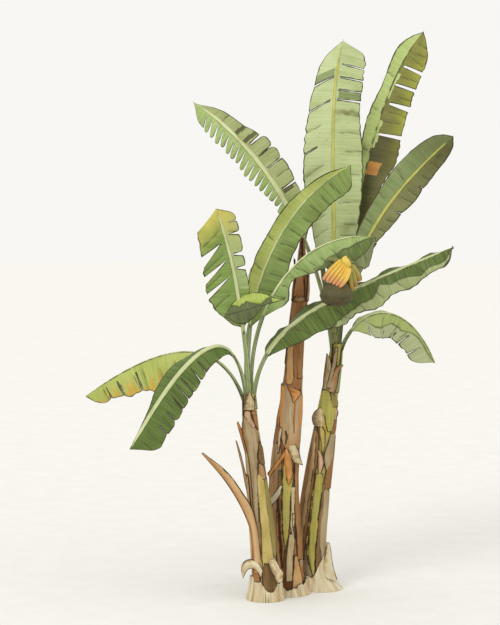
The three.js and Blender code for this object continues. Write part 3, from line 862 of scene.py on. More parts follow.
@dataclass
class Stem:
    """A pseudostem: a leaning axis, its girth, and old sheaths that wind round it and overlap."""

    name: str
    path: tuple[Triple, ...]
    girth: tuple[float, ...]
    lap: float
    wind: float
    turn: float
    tones: tuple[SheathTone, ...]
    slot: str = "green_stem"
    worn_top: float = 0.0
    wraps: int = 3

    @property
    def top(self) -> float:
        """The height of the stem's top."""
        return self.path[-1][2]

    def at(self, height: Array) -> tuple[Array, Array]:
        """The axis and the mean radius at some heights.

        Args:
            height: heights above the ground.

        Returns:
            The centres, on the smooth curve through the path, and the radii, straight from point to point.
        """
        height = np.asarray(height, float)
        path, numbers = np.array(self.path, float), np.arange(len(self.path))
        place = np.interp(height, path[:, 2], numbers)
        centre = through(path, place / numbers[-1])
        centre[..., 2] = height
        return centre, np.interp(place, numbers, self.girth)

    def phase(self, height: Array, angle: Array) -> Array:
        """Counts the overlapping sheaths: it grows by one from each sheath's edge to the next."""
        return angle / (2 * np.pi) * self.wraps + self.turn + self.wind * self.wraps * height / self.top

    def relief(self, mean: Array) -> Array:
        """How far an old sheath's edge stands off the next one, where the mean radius is so much."""
        return self.lap * np.minimum(1.0, mean / SLIM)

    def surface(self, height: Array, angle: Array, off: Array) -> Array:
        """Points at given heights, angles in radians and distances from the axis, in metres."""
        centre = self.at(height)[0]
        return (centre + marks(off * np.cos(angle), off * np.sin(angle), 0.0)) * MM

    def build(self, bands: "tuple[Band, ...]") -> bpy.types.Object:
        """The stem with its bark's relief, and the old sheaths that lie on it.

        The radius is the mean one plus how proud a sheath stands there, a sawtooth of its phase, plus fine
        ridges along the fibres, plus slow bulges. A sheath's edge is where its phase starts anew.

        Args:
            bands: the old sheaths that clasp it.

        Returns:
            The piece that stands for the stem.
        """
        rows = int(self.top / BARK_STEP) + 2
        turns = np.linspace(-np.pi, np.pi, BARK_COLUMNS, endpoint=False)
        height, angle = grid(np.linspace(0.0, self.top, rows), turns)
        mean, phase, seed = self.at(height)[1], self.phase(height, angle), len(self.name)
        sheath = np.floor(phase)
        share, tone = phase - sheath, spread(sheath)
        ridge = waver(angle * 26 + sheath * 9, seed, height / 260) * 1.1
        bulge = waver(angle * 1.5, seed + 1, height / 90) * 1.6
        off = mean + self.relief(mean) * (share - 0.5) + (ridge + bulge) * np.minimum(1.0, mean / 50.0)
        edge = np.minimum(share, 1 - share) * 2 * np.pi * mean / self.wraps
        worn = smooth(waver(height / 120, seed + 2, angle * 1.2), 0.25, 1.0)
        if self.worn_top:
            worn = np.maximum(worn, smooth(height, self.worn_top, self.top) * 0.5)
        sides = np.round(tone[:-1].reshape(-1) * 97).astype(int) % len(self.tones)
        lay = marks(height * MM, angle * mean * MM, tone)
        # painted shade in the grooves between the fibre ridges
        age = marks(edge * MM, smooth(-ridge, 1.0, 1.6) * 0.5, worn)
        work, tones = Patchwork(), list(self.tones)
        finish = np.concatenate([sides, np.zeros(BARK_COLUMNS, int)])
        work.add_tube(self.surface(height, angle, off), finish, lay, age)
        for band in bands:
            band.add_to(work, self, tones)
        return work.build(f"stem_{self.name}_bark", tones, self.slot, f"stem_{self.name}")


@dataclass
class Band:
    """An old sheath that still clasps its stem: between two angles that change with the height.

    rows give height, and the angles of its two sides. `proud` is how far it stands off the stem, `lifted`
    more at its top, and its ends are frayed by `fray`. One that isn't `outlined` has no dark edge.
    """

    tone: SheathTone
    rows: tuple[Triple, ...]
    proud: float = 3.0
    lifted: float = 0.0
    fray: float = 7.0
    worn: float = 0.3
    outlined: bool = True

    def add_to(self, work: Patchwork, stem: Stem, tones: list[SheathTone]) -> None:
        """Adds the band to its stem's mesh.

        The height runs straight from the first row to the last, and each column's ends are pulled in by a
        ragged amount. The angle runs from side to side, and the radius is the stem's plus proud, a little
        more midway between the sides and less at them, so the band's sides lie down on the stem.

        Args:
            work: the stem's mesh.
            stem: the stem that it clasps.
            tones: the stem's finishes so far.
        """
        finish = place_of(self.tone, tones)
        level, lefts, rights = np.array(sorted(self.rows), float).T
        low, high = level[0], level[-1]
        rows = max(8, int((high - low) / 12))
        widest = np.radians(np.abs(rights - lefts).max()) * float(stem.at(np.array((low + high) / 2))[1])
        across = int(np.clip(widest / 5, 7, 34))
        seed = int(low + high) + int(lefts[0])
        t, s = grid(np.linspace(0, 1, rows), np.linspace(0, 1, across))
        frays = ((14, seed), (17, seed + 1))
        foot, head = ((0.5 + 0.5 * waver(s * pitch, n)) * self.fray for pitch, n in frays)
        height = low + (high - low) * t + foot * (1 - t) ** 6 - head * t**6
        left = np.interp(height, level, lefts) + waver(height / 60, seed + 2) * 1.2
        right = np.interp(height, level, rights) + waver(height / 52, seed + 3) * 1.2
        angle = np.radians(left + (right - left) * s)
        side = 1 - (2 * s - 1) ** 4
        mean = stem.at(height)[1]
        ridge = waver(s * 22, seed + 4, height / 200) * 0.7
        off = mean + stem.relief(mean) / 2 + self.proud * (0.35 + 0.65 * side) + ridge
        off = off + self.lifted * t**3 * (0.6 + 0.4 * side)
        arc = np.abs(np.radians(right - left)) * mean
        edge = np.minimum(np.minimum(s, 1 - s) * arc, np.minimum(t, 1 - t) * (high - low) + 2)
        if not self.outlined:
            edge = np.full_like(edge, NO_EDGE)
        # the band's sides take its blush colour: partly the sheath's own browned margin, partly painted shade
        sides = smooth(np.abs(2 * s - 1) + 0.12 * waver(height / 40, seed + 6), 0.5, 1.0)
        sides = sides * np.minimum(1.0, arc / 60)
        worn = self.worn * (0.5 + 0.5 * waver(height / 90, seed + 5, s * 3))
        lay = marks(height * MM, angle * mean * MM, spread(seed))
        age = marks(edge * MM, 0.0, np.clip(np.maximum(worn, 0.6 * sides), 0, 1))
        points = stem.surface(height, angle, off)
        work.add_slab(points, grid_faces(rows, across), BAND_SLAB, finish, finish, lay, age)


STEMS: dict[str, Stem] = {
    stem.name: stem
    for stem in (
        Stem(
            "left",
            ((-193, -230, 0), (-198, -230, 311), (-249, -232, 793), (-288, -235, 1161), (-320, -238, 1512),
             (-328, -240, 1640)),
            (128, 108, 86, 68, 54, 46),
            lap=7, wind=0.8, turn=0.4, tones=(SheathTone.TAN, SheathTone.BROWN, SheathTone.OCHRE),
        ),
        Stem(
            "middle",
            ((0, 0, 0), (-22, 5, 428), (-46, 10, 834), (-22, 20, 1239), (17, 30, 1602), (49, 45, 2061),
             (89, 65, 2446), (98, 78, 2862)),
            (126, 116, 112, 104, 80, 62, 60, 17),
            lap=8, wind=0.5, turn=1.2, tones=(SheathTone.RUST, SheathTone.FAWN, SheathTone.RUST),
            slot="dead_stem", worn_top=1800,
        ),
        Stem(
            "right",
            ((195, 190, 0), (178, 190, 361), (210, 195, 739), (258, 200, 1099), (314, 205, 1500),
             (370, 210, 1867), (386, 212, 2000)),
            (118, 112, 110, 96, 70, 50, 42),
            lap=8, wind=0.7, turn=2.1, tones=(SheathTone.BROWN, SheathTone.GREY, SheathTone.GREEN),
        ),
    )
}

T = SheathTone  # short, for the tables
BANDS: dict[str, tuple[Band, ...]] = {
    "left": (
        # the front, from the collar down: pink and rust, a grey sheath, then ochre with an olive side
        Band(T.PINK, ((1515, -138, -90), (1470, -146, -79), (1425, -115, -68), (1375, -83, -53))),
        Band(T.RUST, ((1515, -90, -35), (1470, -79, -32), (1420, -68, -33), (1355, -51, -36))),
        Band(T.GREY, ((1465, -164, -150), (1420, -177, -104), (1360, -180, -47), (1310, -180, -44),
            (1240, -152, -55), (1165, -132, -72), (1090, -121, -77), (1015, -126, -83), (900, -131, -90),
            (760, -131, -96), (640, -116, -103)), outlined=False),
        Band(T.DARK, ((1265, -47, -37), (1210, -62, 0), (1140, -72, 0), (1080, -55, -10)), proud=6),
        Band(T.FAWN, ((1105, -73, -65), (1060, -76, -30), (1010, -82, -25), (960, -59, -30)), proud=8),
        Band(T.OCHRE, ((1015, -84, -76), (980, -91, -40), (870, -93, -38), (760, -95, -38), (550, -98, -38),
            (370, -104, -40), (300, -104, -70), (245, -101, -94)), proud=6, worn=0.5),
        Band(T.OLIVE, ((980, -50, -20), (860, -55, -16), (760, -58, -18), (545, -59, -20), (350, -58, -40)),
            proud=9),
        Band(T.BROWN, ((860, -30, 40), (500, -34, 40), (100, -40, 60))),
        Band(T.DARK, ((310, -98, -80), (250, -104, -60), (180, -104, -45), (60, -100, -45)), proud=9),
        Band(T.RUST, ((270, -150, -135), (235, -150, -112), (150, -140, -108)), proud=9),
        # the back and the sides
        Band(T.TAN, ((300, 150, 225), (700, 150, 225), (1000, 155, 220))),
        Band(T.FAWN, ((200, 60, 160), (620, 70, 160), (1150, 80, 150)), proud=5),
        Band(T.LEAFY, ((1180, 20, 130), (1420, 30, 120), (1620, 50, 105))),
        Band(T.LEAFY, ((1300, 130, 205), (1500, 140, 205), (1630, 150, 205)), proud=4),
        Band(T.LEAFY, ((1520, -60, 30), (1570, -50, 25), (1636, -30, 20)), proud=5),
    ),
    "middle": (
        # pale and dark streaks above the cuff, a ragged body, then strips side by side
        Band(T.RUST, ((2360, -165, -20), (2085, -160, -40), (1843, -152, -34), (1640, -150, -36)), proud=2,
            worn=0.5),
        Band(T.PEACH, ((2080, -149, -106), (1900, -145, -95), (1760, -138, -82), (1690, -133, -96)),
            proud=4),
        Band(T.BROWN, ((2070, -76, -10), (1900, -78, -20), (1735, -73, -30)), proud=4),
        Band(T.FAWN, ((1705, -175, -162), (1680, -180, -95), (1630, -180, -32), (1585, -180, 0),
            (1435, -150, 0), (1320, -130, 0), (1225, -111, -15), (1175, -92, -25)), proud=6, worn=0.45),
        Band(T.ORANGE, ((1675, -142, -130), (1605, -157, -137), (1515, -149, -131), (1390, -136, -128)),
            proud=9, outlined=False),
        Band(T.ORANGE, ((1600, -48, -20), (1470, -40, -5), (1350, -34, -13)), proud=9, outlined=False),
        Band(T.GREY, ((1660, -122, -116), (1550, -121, -87), (1440, -116, -76), (1325, -98, -84)), proud=9,
            outlined=False),
        Band(T.BROWN, ((1600, -82, -76), (1500, -76, -68), (1400, -74, -66), (1300, -66, -62)), proud=9,
            outlined=False),
        Band(T.DARK, ((1330, -106, -98), (1280, -100, -88), (1215, -98, -92)), proud=8),
        Band(T.STRAW, ((1355, -128, -119), (1290, -131, -115), (1140, -129, -118)), proud=11),
        Band(T.FAWN, ((1230, -140, -133), (1180, -180, -109), (1050, -180, -103), (900, -180, -110),
            (790, -180, -117), (570, -180, -119), (360, -160, -119)), proud=4),
        Band(T.ORANGE, ((980, -176, -163), (855, -178, -158), (700, -178, -166)), proud=7),
        Band(T.DARK, ((1015, -121, -102), (870, -115, -97), (705, -115, -100), (600, -113, -108)), proud=7),
        Band(T.ORANGE, ((700, -124, -116), (510, -131, -117), (280, -124, -119)), proud=8),
        Band(T.RUST, ((845, -108, -98), (655, -112, -98), (510, -114, -104), (400, -112, -97),
            (295, -113, -104), (225, -112, -109)), proud=8),
        Band(T.GREEN, ((1100, -96, -60), (1010, -100, -52), (925, -99, -54), (830, -98, -64),
            (690, -101, -69), (545, -106, -78), (450, -104, -88), (360, -100, -94)), proud=9, worn=0.4),
        Band(T.STRAW, ((880, -64, -41), (690, -69, -50), (545, -78, -56), (440, -88, -60), (295, -98, -70),
            (110, -104, -80)), proud=7),
        Band(T.BROWN, ((1120, -52, -15), (1010, -50, -15), (790, -47, -10), (680, -50, 0), (570, -54, 0),
            (450, -50, 0), (280, -58, -30)), proud=6),
        Band(T.PEACH, ((330, -66, -56), (220, -72, -45), (110, -82, -37), (30, -84, -35)), proud=11),
        Band(T.CREAM, ((895, -102, -98), (820, -130, -102), (770, -153, -119), (710, -178, -146),
            (680, -180, -170)), proud=12),
        Band(T.STRAW, ((670, -64, -51), (580, -66, -57), (465, -66, -60)), proud=12),
        Band(T.DARK, ((555, -78, -73), (525, -87, -68), (490, -76, -70)), proud=11),
        # the back and the sides
        Band(T.FAWN, ((400, 4, 95), (900, 10, 90), (1500, 15, 85), (1900, 30, 75)), proud=5),
        Band(T.BROWN, ((300, 90, 178), (800, 92, 176), (1300, 95, 170), (1750, 105, 160)), proud=4),
        Band(T.RUST, ((1850, 60, 190), (2200, 70, 185), (2420, 90, 170))),
        # shreds at the broken top
        Band(T.RUST, ((2380, -150, -60), (2560, -140, -70), (2760, -122, -92), (2850, -112, -100)), proud=4,
            lifted=6, fray=30),
        Band(T.BROWN, ((2360, 130, 220), (2520, 150, 212), (2640, 170, 195), (2700, 180, 188)), proud=6,
            lifted=22, fray=20),
        Band(T.FAWN, ((2350, -50, 30), (2500, -40, 10), (2650, -26, -10)), proud=5, lifted=18, fray=24),
        Band(T.RUST, ((2340, 40, 120), (2540, 55, 105), (2720, 75, 88)), proud=4, lifted=10, fray=24),
    ),
    "right": (
        # a green dome over a brown side, a green strip and grey sheaths
        Band(T.BROWN, ((1330, -180, -132), (1260, -180, -114), (1105, -180, -101), (950, -180, -104),
            (830, -180, -105), (610, -180, -107), (395, -180, -110), (245, -180, -121)), proud=4, worn=0.4),
        Band(T.TAN, ((1310, -158, -132), (1110, -143, -116), (950, -140, -114), (760, -140, -116),
            (540, -140, -119), (325, -136, -124)), proud=6),
        Band(T.GREY, ((1300, -50, -5), (1220, -67, 0), (1110, -82, 0), (1025, -72, 0), (880, -40, 0)),
            proud=5),
        Band(T.GREEN, ((960, -106, -75), (910, -105, -67), (765, -102, -68), (620, -103, -70),
            (475, -101, -68), (330, -105, -75), (185, -99, -78), (110, -88, -83)), proud=8),
        Band(T.OCHRE, ((940, -107, -100), (695, -106, -99), (400, -111, -103), (215, -105, -98)), proud=10),
        Band(T.BROWN, ((1255, -20, 10), (1100, -26, 10), (980, -62, 10), (905, -64, 10), (820, -58, 10)),
            proud=7),
        Band(T.DARK, ((880, -67, -30), (620, -70, -20), (475, -70, -20), (330, -73, -20), (180, -78, -50),
            (120, -82, -76)), proud=5),
        Band(T.GREY, ((830, -58, -48), (790, -59, -20), (650, -63, -8), (390, -60, 0), (285, -55, -20),
            (220, -53, -45)), proud=9),
        Band(T.GREEN, ((1635, -150, -122), (1580, -180, -53), (1520, -180, 0), (1470, -180, 0),
            (1420, -105, -30), (1340, -88, -40), (1290, -76, -56)), proud=6, worn=0.1),
        Band(T.OLIVE, ((1615, -98, -85), (1570, -87, -40), (1520, -83, 0), (1485, -64, 0)), proud=9),
        Band(T.RUST, ((1390, -44, 0), (1300, -56, 0), (1270, -55, -35)), proud=8),
        Band(T.OCHRE, ((1340, -129, -106), (1295, -117, -87), (1200, -100, -80), (1110, -88, -84)),
            proud=10),
        # the back and the sides
        Band(T.LEAFY, ((1600, -60, 60), (1760, -50, 50), (1960, -40, 30)), proud=4),
        Band(T.LEAFY, ((1480, 70, 190), (1700, 80, 180), (1960, 100, 165)), proud=4),
        Band(T.GREY, ((1640, -128, -62), (1760, -120, -70), (1980, -110, -80)), proud=5),
        Band(T.TAN, ((250, 90, 180), (700, 92, 180), (1250, 100, 175)), proud=5),
        Band(T.FAWN, ((300, 20, 92), (900, 24, 92), (1400, 30, 85)), proud=6),
    ),
}


@dataclass
class PeeledSheath:
    """An old sheath that has come away from its stem: a strip between two torn edges.

    Each edge is a smooth curve through points in x and z, from the held end to the free one. The strip's y
    runs between the two values of `deep`. `belly` is how far its middle swells towards the front, and `wrap`
    how far its sides go back round the stem.
    """

    name: str
    left: Pairs
    right: Pairs
    deep: tuple[float, float]
    tone: SheathTone
    under: SheathTone
    belly: float = 8.0
    wrap: float = 0.0

    def edge(self, points: Pairs, h: Array) -> Array:
        """Points on an edge's curve, at shares h of its length.

        Args:
            points: the edge's points in x and z.
            h: shares of its length.

        Returns:
            Points, in millimetres.
        """
        curve = through(np.array([(x, 0.0, z) for x, z in points]), h)
        curve[..., 1] = self.deep[0] + (self.deep[1] - self.deep[0]) * h
        return curve

    def build(self) -> bpy.types.Object:
        """The strip as a thin slab.

        With h along it and x across it, from -1 to 1: the point is (a (1 - x) + b (1 + x)) / 2 for the edges
        a and b, moved forward by belly (1 - x^2), and back by wrap (x w)^2, with w the width as a share of
        the widest, so that its sides close on the stem. Its left side is darker, in its blush colour.

        Returns:
            The object, riding on the root body.
        """
        length = np.abs(np.diff(np.array(self.left), axis=0)).sum()
        seed = int(abs(self.left[0][0] + self.left[0][1]))
        rows, across = max(16, int(length / 9)), 15
        h, x = grid(np.linspace(0, 1, rows), np.linspace(-1, 1, across))
        a, b = self.edge(self.left, h), self.edge(self.right, h)
        if np.cross((b - a)[rows // 2, 0], (a[-1] - a[0])[0])[1] > 0:
            a, b = b, a
        points = (a * (1 - x)[..., None] + b * (1 + x)[..., None]) / 2
        wide = np.linalg.norm(b - a, axis=-1)
        side = x * np.sign((b - a)[..., 0])
        ridge = 0.9 * waver(x * 15, seed + 3, h * 3)
        closed = self.wrap * (x * wide / wide.max()) ** 2
        points[..., 1] += closed - self.belly * (1 - x**2) * np.minimum(1, wide / 30) - ridge
        points[..., 1] += 3.0 * waver(h * 9, seed + 2, x) * h
        to_end = np.minimum(1 - h, h + 0.05) * length + 1
        edge = np.minimum((1 - np.abs(x)) * np.maximum(wide, 45) / 2, to_end)
        worn = np.clip(0.5 * waver(h * 6, seed + 4, x * 2), 0, 1)
        # the left side darker, in the blush colour
        worn = np.maximum(worn, 0.9 * smooth(-side + 0.15 * waver(h * 12, seed + 5), 0.15, 0.75))
        lay = marks(h * length * MM, x * wide / 2 * MM, spread(seed))
        # painted shade in the grooves between the ridges
        age = marks(edge * MM, smooth(-ridge, 0.7, 1.0) * 0.4, worn)
        work = Patchwork()
        work.add_slab(points * MM, grid_faces(rows, across), STRIP_SLAB, 0, 1, lay, age)
        return work.build(f"{self.name}_strip", [self.tone, self.under], "dry_sheath", self.name)


PEELED: tuple[PeeledSheath, ...] = (
    PeeledSheath(
        "sheath_left_long",
        ((-295, 235), (-300, 345), (-315, 555), (-390, 755), (-515, 965), (-700, 1190)),
        ((-225, 230), (-240, 405), (-270, 610), (-305, 745), (-375, 870), (-500, 1040), (-690, 1195)),
        (-320, -400), T.PEACH, T.ORANGE, belly=26, wrap=12,
    ),
    PeeledSheath(
        "sheath_left_spike",
        ((-335, 820), (-365, 955), (-380, 1045), (-410, 1170), (-435, 1275)),
        ((-310, 820), (-340, 955), (-365, 1055), (-395, 1175), (-425, 1272)),
        (-262, -275), T.FAWN, T.TAN,
    ),
    PeeledSheath(
        "sheath_left_stub",
        ((-335, 1055), (-352, 1140), (-368, 1205), (-395, 1305), (-425, 1410)),
        ((-290, 1055), (-315, 1160), (-340, 1245), (-368, 1320), (-415, 1425)),
        (-262, -262), T.ORANGE, T.BROWN,
    ),
    PeeledSheath(
        "sheath_left_collar",
        ((-378, 1520), (-365, 1570), (-345, 1625), (-324, 1662)),
        ((-277, 1524), (-280, 1570), (-300, 1625), (-320, 1662)),
        (-292, -296), T.STRAW, T.GREY, belly=24, wrap=30,
    ),
    PeeledSheath(
        "sheath_left_front",
        ((-275, 640), (-298, 760), (-310, 900), (-320, 1020), (-338, 1160), (-362, 1250), (-378, 1310),
         (-384, 1400), (-372, 1458)),
        ((-250, 640), (-252, 760), (-255, 900), (-262, 1020), (-268, 1160), (-262, 1240), (-262, 1310),
         (-270, 1360), (-362, 1460)),
        (-330, -294), T.GREY, T.TAN, belly=5, wrap=34,
    ),
    PeeledSheath(
        "sheath_left_curl",
        ((-235, 195), (-275, 250), (-305, 265), (-335, 255), (-352, 235), (-372, 188)),
        ((-222, 255), (-255, 312), (-305, 340), (-360, 325), (-388, 275), (-375, 185)),
        (-352, -330), T.CREAM, T.STRAW, belly=16,
    ),
    PeeledSheath(
        "sheath_left_scar",
        ((-120, 345), (-90, 290), (-55, 230), (-62, 175)),
        ((-185, 320), (-165, 270), (-135, 210), (-108, 155)),
        (-340, -385), T.STRAW, T.DARK, belly=10,
    ),
    PeeledSheath(
        "sheath_middle_cuff",
        ((25, 1550), (10, 1600), (-10, 1650), (-28, 1688)),
        ((30, 1550), (65, 1590), (88, 1620), (88, 1640)),
        (-74, -72), T.ORANGE, T.BROWN, wrap=20,
    ),
    PeeledSheath(
        "sheath_middle_side",
        ((-90, 1330), (-108, 1380), (-97, 1465), (-80, 1560), (-70, 1700)),
        ((-82, 1330), (-65, 1390), (-65, 1465), (-60, 1560), (-35, 1680)),
        (-20, -15), T.ORANGE, T.BROWN, wrap=8,
    ),
    PeeledSheath(
        "sheath_middle_peel",
        ((-32, 1195), (-12, 1145), (8, 1105), (25, 1082)),
        ((45, 1218), (70, 1170), (85, 1110), (102, 1052)),
        (-84, -112), T.STRAW, T.TAN, belly=12,
    ),
    PeeledSheath(
        "sheath_middle_strip",
        ((-35, 1188), (-85, 1115), (-130, 1055), (-182, 990)),
        ((-28, 1145), (-70, 1085), (-115, 1025), (-165, 952)),
        (-96, -130), T.ORANGE, T.TAN, belly=5,
    ),
    PeeledSheath(
        "sheath_middle_tongue",
        ((-36, 1182), (-55, 1110), (-50, 1025), (-36, 955), (-15, 892)),
        ((-24, 1186), (15, 1110), (25, 1025), (20, 955), (-9, 892)),
        (-98, -114), T.ORANGE, T.BROWN, wrap=6,
    ),
    PeeledSheath(
        "sheath_right_tip",
        ((295, 1640), (320, 1715), (350, 1775), (380, 1820), (430, 1838)),
        ((372, 1580), (382, 1635), (388, 1700), (400, 1775), (435, 1832)),
        (146, 130), T.FAWN, T.TAN, wrap=24,
    ),
    PeeledSheath(
        "sheath_right_spike",
        ((270, 1635), (275, 1725), (285, 1805), (300, 1925)),
        ((302, 1640), (330, 1710), (355, 1790), (306, 1922)),
        (158, 168), T.GREY, T.PINK, wrap=10,
    ),
    PeeledSheath(
        "sheath_right_blister",
        ((195, 1340), (183, 1395), (200, 1445), (240, 1483)),
        ((300, 1332), (305, 1395), (290, 1455), (250, 1487)),
        (150, 158), T.STRAW, T.OCHRE, belly=38, wrap=20,
    ),
    PeeledSheath(
        "sheath_right_scale",
        ((235, 935), (225, 1015), (225, 1085), (230, 1148)),
        ((240, 935), (275, 1010), (275, 1080), (236, 1148)),
        (88, 104), T.PINK, T.STRAW,
    ),
    PeeledSheath(
        "sheath_right_flare",
        ((240, 120), (265, 210), (290, 290), (300, 340), (306, 384)),
        ((390, 80), (362, 170), (346, 250), (338, 320), (326, 380)),
        (70, 150), T.CREAM, T.STRAW, belly=10, wrap=40,
    ),
    PeeledSheath(
        "sheath_right_edge",
        ((368, 1328), (358, 1415), (345, 1455), (334, 1488)),
        ((378, 1333), (382, 1390), (396, 1445), (378, 1493)),
        (168, 160), T.PINK, T.TAN, belly=10,
    ),
)


@dataclass(frozen=True)
class Skirt:
    """The root crown's skirt round one stem: its spread, a flare towards one side, and its torn rim.

    rim gives angles in degrees and the rim's height there; between them it runs straight.
    """

    stem: str
    foot: float
    top: float
    flare: float
    toward: float
    rim: Pairs


@dataclass
class RootCrown:
    """The matted stubs of old sheaths round the stems' feet: three ragged skirts that meet at the ground."""

    skirts: tuple[Skirt, ...] = (
        Skirt(
            "left", foot=26, top=12, flare=10, toward=250,
            rim=((-180, 175), (-140, 205), (-108, 165), (-96, 120), (-84, 80), (-64, 84), (-48, 140),
                (-20, 165), (60, 120), (120, 150)),
        ),
        Skirt(
            "middle", foot=50, top=12, flare=20, toward=250,
            rim=((-180, 130), (-120, 100), (-95, 50), (-60, 90), (0, 130), (70, 100), (130, 140)),
        ),
        Skirt(
            "right", foot=60, top=17, flare=70, toward=-10,
            rim=((-180, 215), (-150, 190), (-120, 140), (-92, 108), (-70, 190), (-45, 275), (-18, 345),
                (0, 365), (30, 230), (70, 130), (130, 160)),
        ),
    )

    def build(self) -> bpy.types.Object:
        """The skirts as slabs that stand round the stems.

        With r the share of the way up: the reach from the axis is the stem's radius + top + (foot - top)
        (1 - r)^1.7, with foot larger towards the flare, plus ridges along the fibres that spread towards the
        ground, and the rim is frayed by two wavers.

        Returns:
            The object, riding on the root body.
        """
        work = Patchwork()
        rows, across = 34, 150
        for k, skirt in enumerate(self.skirts):
            r, angle = grid(np.linspace(0, 1, rows), np.linspace(-np.pi, np.pi, across))
            x, y = np.cos(angle), np.sin(angle)
            turns, heights = np.array(skirt.rim).T
            fray = 5 * waver(x * 9, k, y * 9) + 4 * waver(x * 31, k + 5, y * 31)
            rim = np.interp(np.degrees(angle), turns, heights, period=360) + fray
            height = r * rim + 1
            centre, radius = STEMS[skirt.stem].at(height)
            spread_out = skirt.foot + skirt.flare * np.maximum(0.0, np.cos(angle - np.radians(skirt.toward)))
            fall = (1 - np.clip(height / 200, 0, 1)) ** 1.7
            fibres = waver(x * 20, k + 9, y * 20 + r * 0.6)
            reach = radius + skirt.top + (spread_out - skirt.top) * fall
            reach = reach + fibres * (1.5 + 4.5 * (1 - r)) * (1 - 0.5 * r) - 2
            worn = np.clip(0.2 + 0.4 * waver(x * 7, k + 3, y * 7 + r * 2), 0, 1)
            lay = marks(height * MM, angle * 120 * MM, k / 3)
            # painted shade in the grooves between the fibres
            age = marks(((1 - r) * rim + 1) * MM, smooth(-fibres, 0.8, 1.5) * 0.7, worn)
            points = (centre + marks(reach * x, reach * y, 0.0)) * MM
            work.add_slab(points, grid_faces(rows, across), SKIRT_SLAB, 0, 0, lay, age)
        return work.build("root_crown_mat", [SheathTone.CREAM], "root_crown", "root_crown")


# Leaves


@dataclass(frozen=True, order=True)
class Tear:
    """A tear along the veins at a share of the blade, from `root` of the half's width out, open by `gap`."""

    at: float
    root: float = 0.4
    gap: float = 10.0
    inner: float = 1.0


@dataclass(frozen=True)
class Blush:
    """A soft patch of the finish's blush colour, at a share of the blade and of the half's width."""

    at: float
    across: float
    long: float
    wide: float
    strength: float = 1.0


@dataclass(frozen=True)
class Patch:
    """A part of a half with a finish of its own, between shares of the blade and of the half's width."""

    tone: LeafTone
    start: float
    end: float
    inner: float = 0.0
    outer: float = 1.1


@dataclass(frozen=True)
class Seam:
    """A line along a half, through shares of the blade and of the width.

    Beyond it the margin has folded over: it has a finish of its own there and stands `step` proud.
    """

    tone: LeafTone
    path: Pairs
    step: float = 4.0

    def line(self, u: Array) -> Array:
        """The seam's share of the width at shares of the blade, straight from point to point."""
        return np.interp(u, *np.array(self.path).T)

    def held(self, u: Array, soft: float = 0.05) -> Array:
        """1 along the seam, dying away beyond its two ends."""
        start, end = self.path[0][0], self.path[-1][0]
        return smooth(u, start - soft, start) * (1 - smooth(u, end, end + soft))


@dataclass(frozen=True)
class Half:
    """One half of a blade, on one side of its rib.

    `margin` gives its width at shares of the blade, and `width` is the greatest one of a half without a
    margin. It hangs from the rib by `fold` degrees and bends on by `curl`, and its veins lean towards the tip
    by `lean` of their length. Its strips' ends are cut back by `ends`, pointed by `point` and lifted by
    `loose`.
    """

    tone: LeafTone
    fold: float
    curl: float
    lean: float
    under: LeafTone = LeafTone.UNDER
    width: float = 0.0
    margin: Pairs = ()
    tears: tuple[Tear, ...] = ()
    creases: tuple[float, ...] = ()
    blushes: tuple[Blush, ...] = ()
    patches: tuple[Patch, ...] = ()
    seams: tuple[Seam, ...] = ()
    ends: float = 0.02
    point: float = 0.1
    loose: float = 9.0


@dataclass
class Rib:
    """A leaf's rib: a cubic Bezier curve read by its length, and where the blade's upper side looks."""

    control: Array
    start: float
    face: Array
    tip_face: Array

    def __post_init__(self) -> None:
        """Measures the curve's length from its foot to each of many points."""
        self.t = np.linspace(0.0, 1.0, RIB_READINGS)
        points, _ = bezier(self.control, self.t)
        steps = np.linalg.norm(np.diff(points, axis=0), axis=1)
        self.lengths = np.concatenate([[0.0], np.cumsum(steps)])
        self.length = float(self.lengths[-1])

    def frame(self, share: Array) -> tuple[Array, Array, Array, Array]:
        """The rib at shares of its length, and straight on beyond its ends.

        Args:
            share: 0 at the foot, 1 at the tip.

        Returns:
            The centre, the direction along, the upper side's, and the right half's, which is along x up.
        """
        inside = np.clip(share, 0.0, 1.0)
        t = np.interp(inside * self.length, self.lengths, self.t)
        centre, slope = bezier(self.control, t)
        along = unit(slope)
        centre = centre + ((share - inside) * self.length)[..., None] * along
        turned = np.clip((inside - self.start) / (1.0 - self.start), 0.0, 1.0)[..., None]
        face = self.face + (self.tip_face - self.face) * turned
        up = unit(face - (face * along).sum(-1, keepdims=True) * along)
        return centre, along, up, np.cross(along, up)


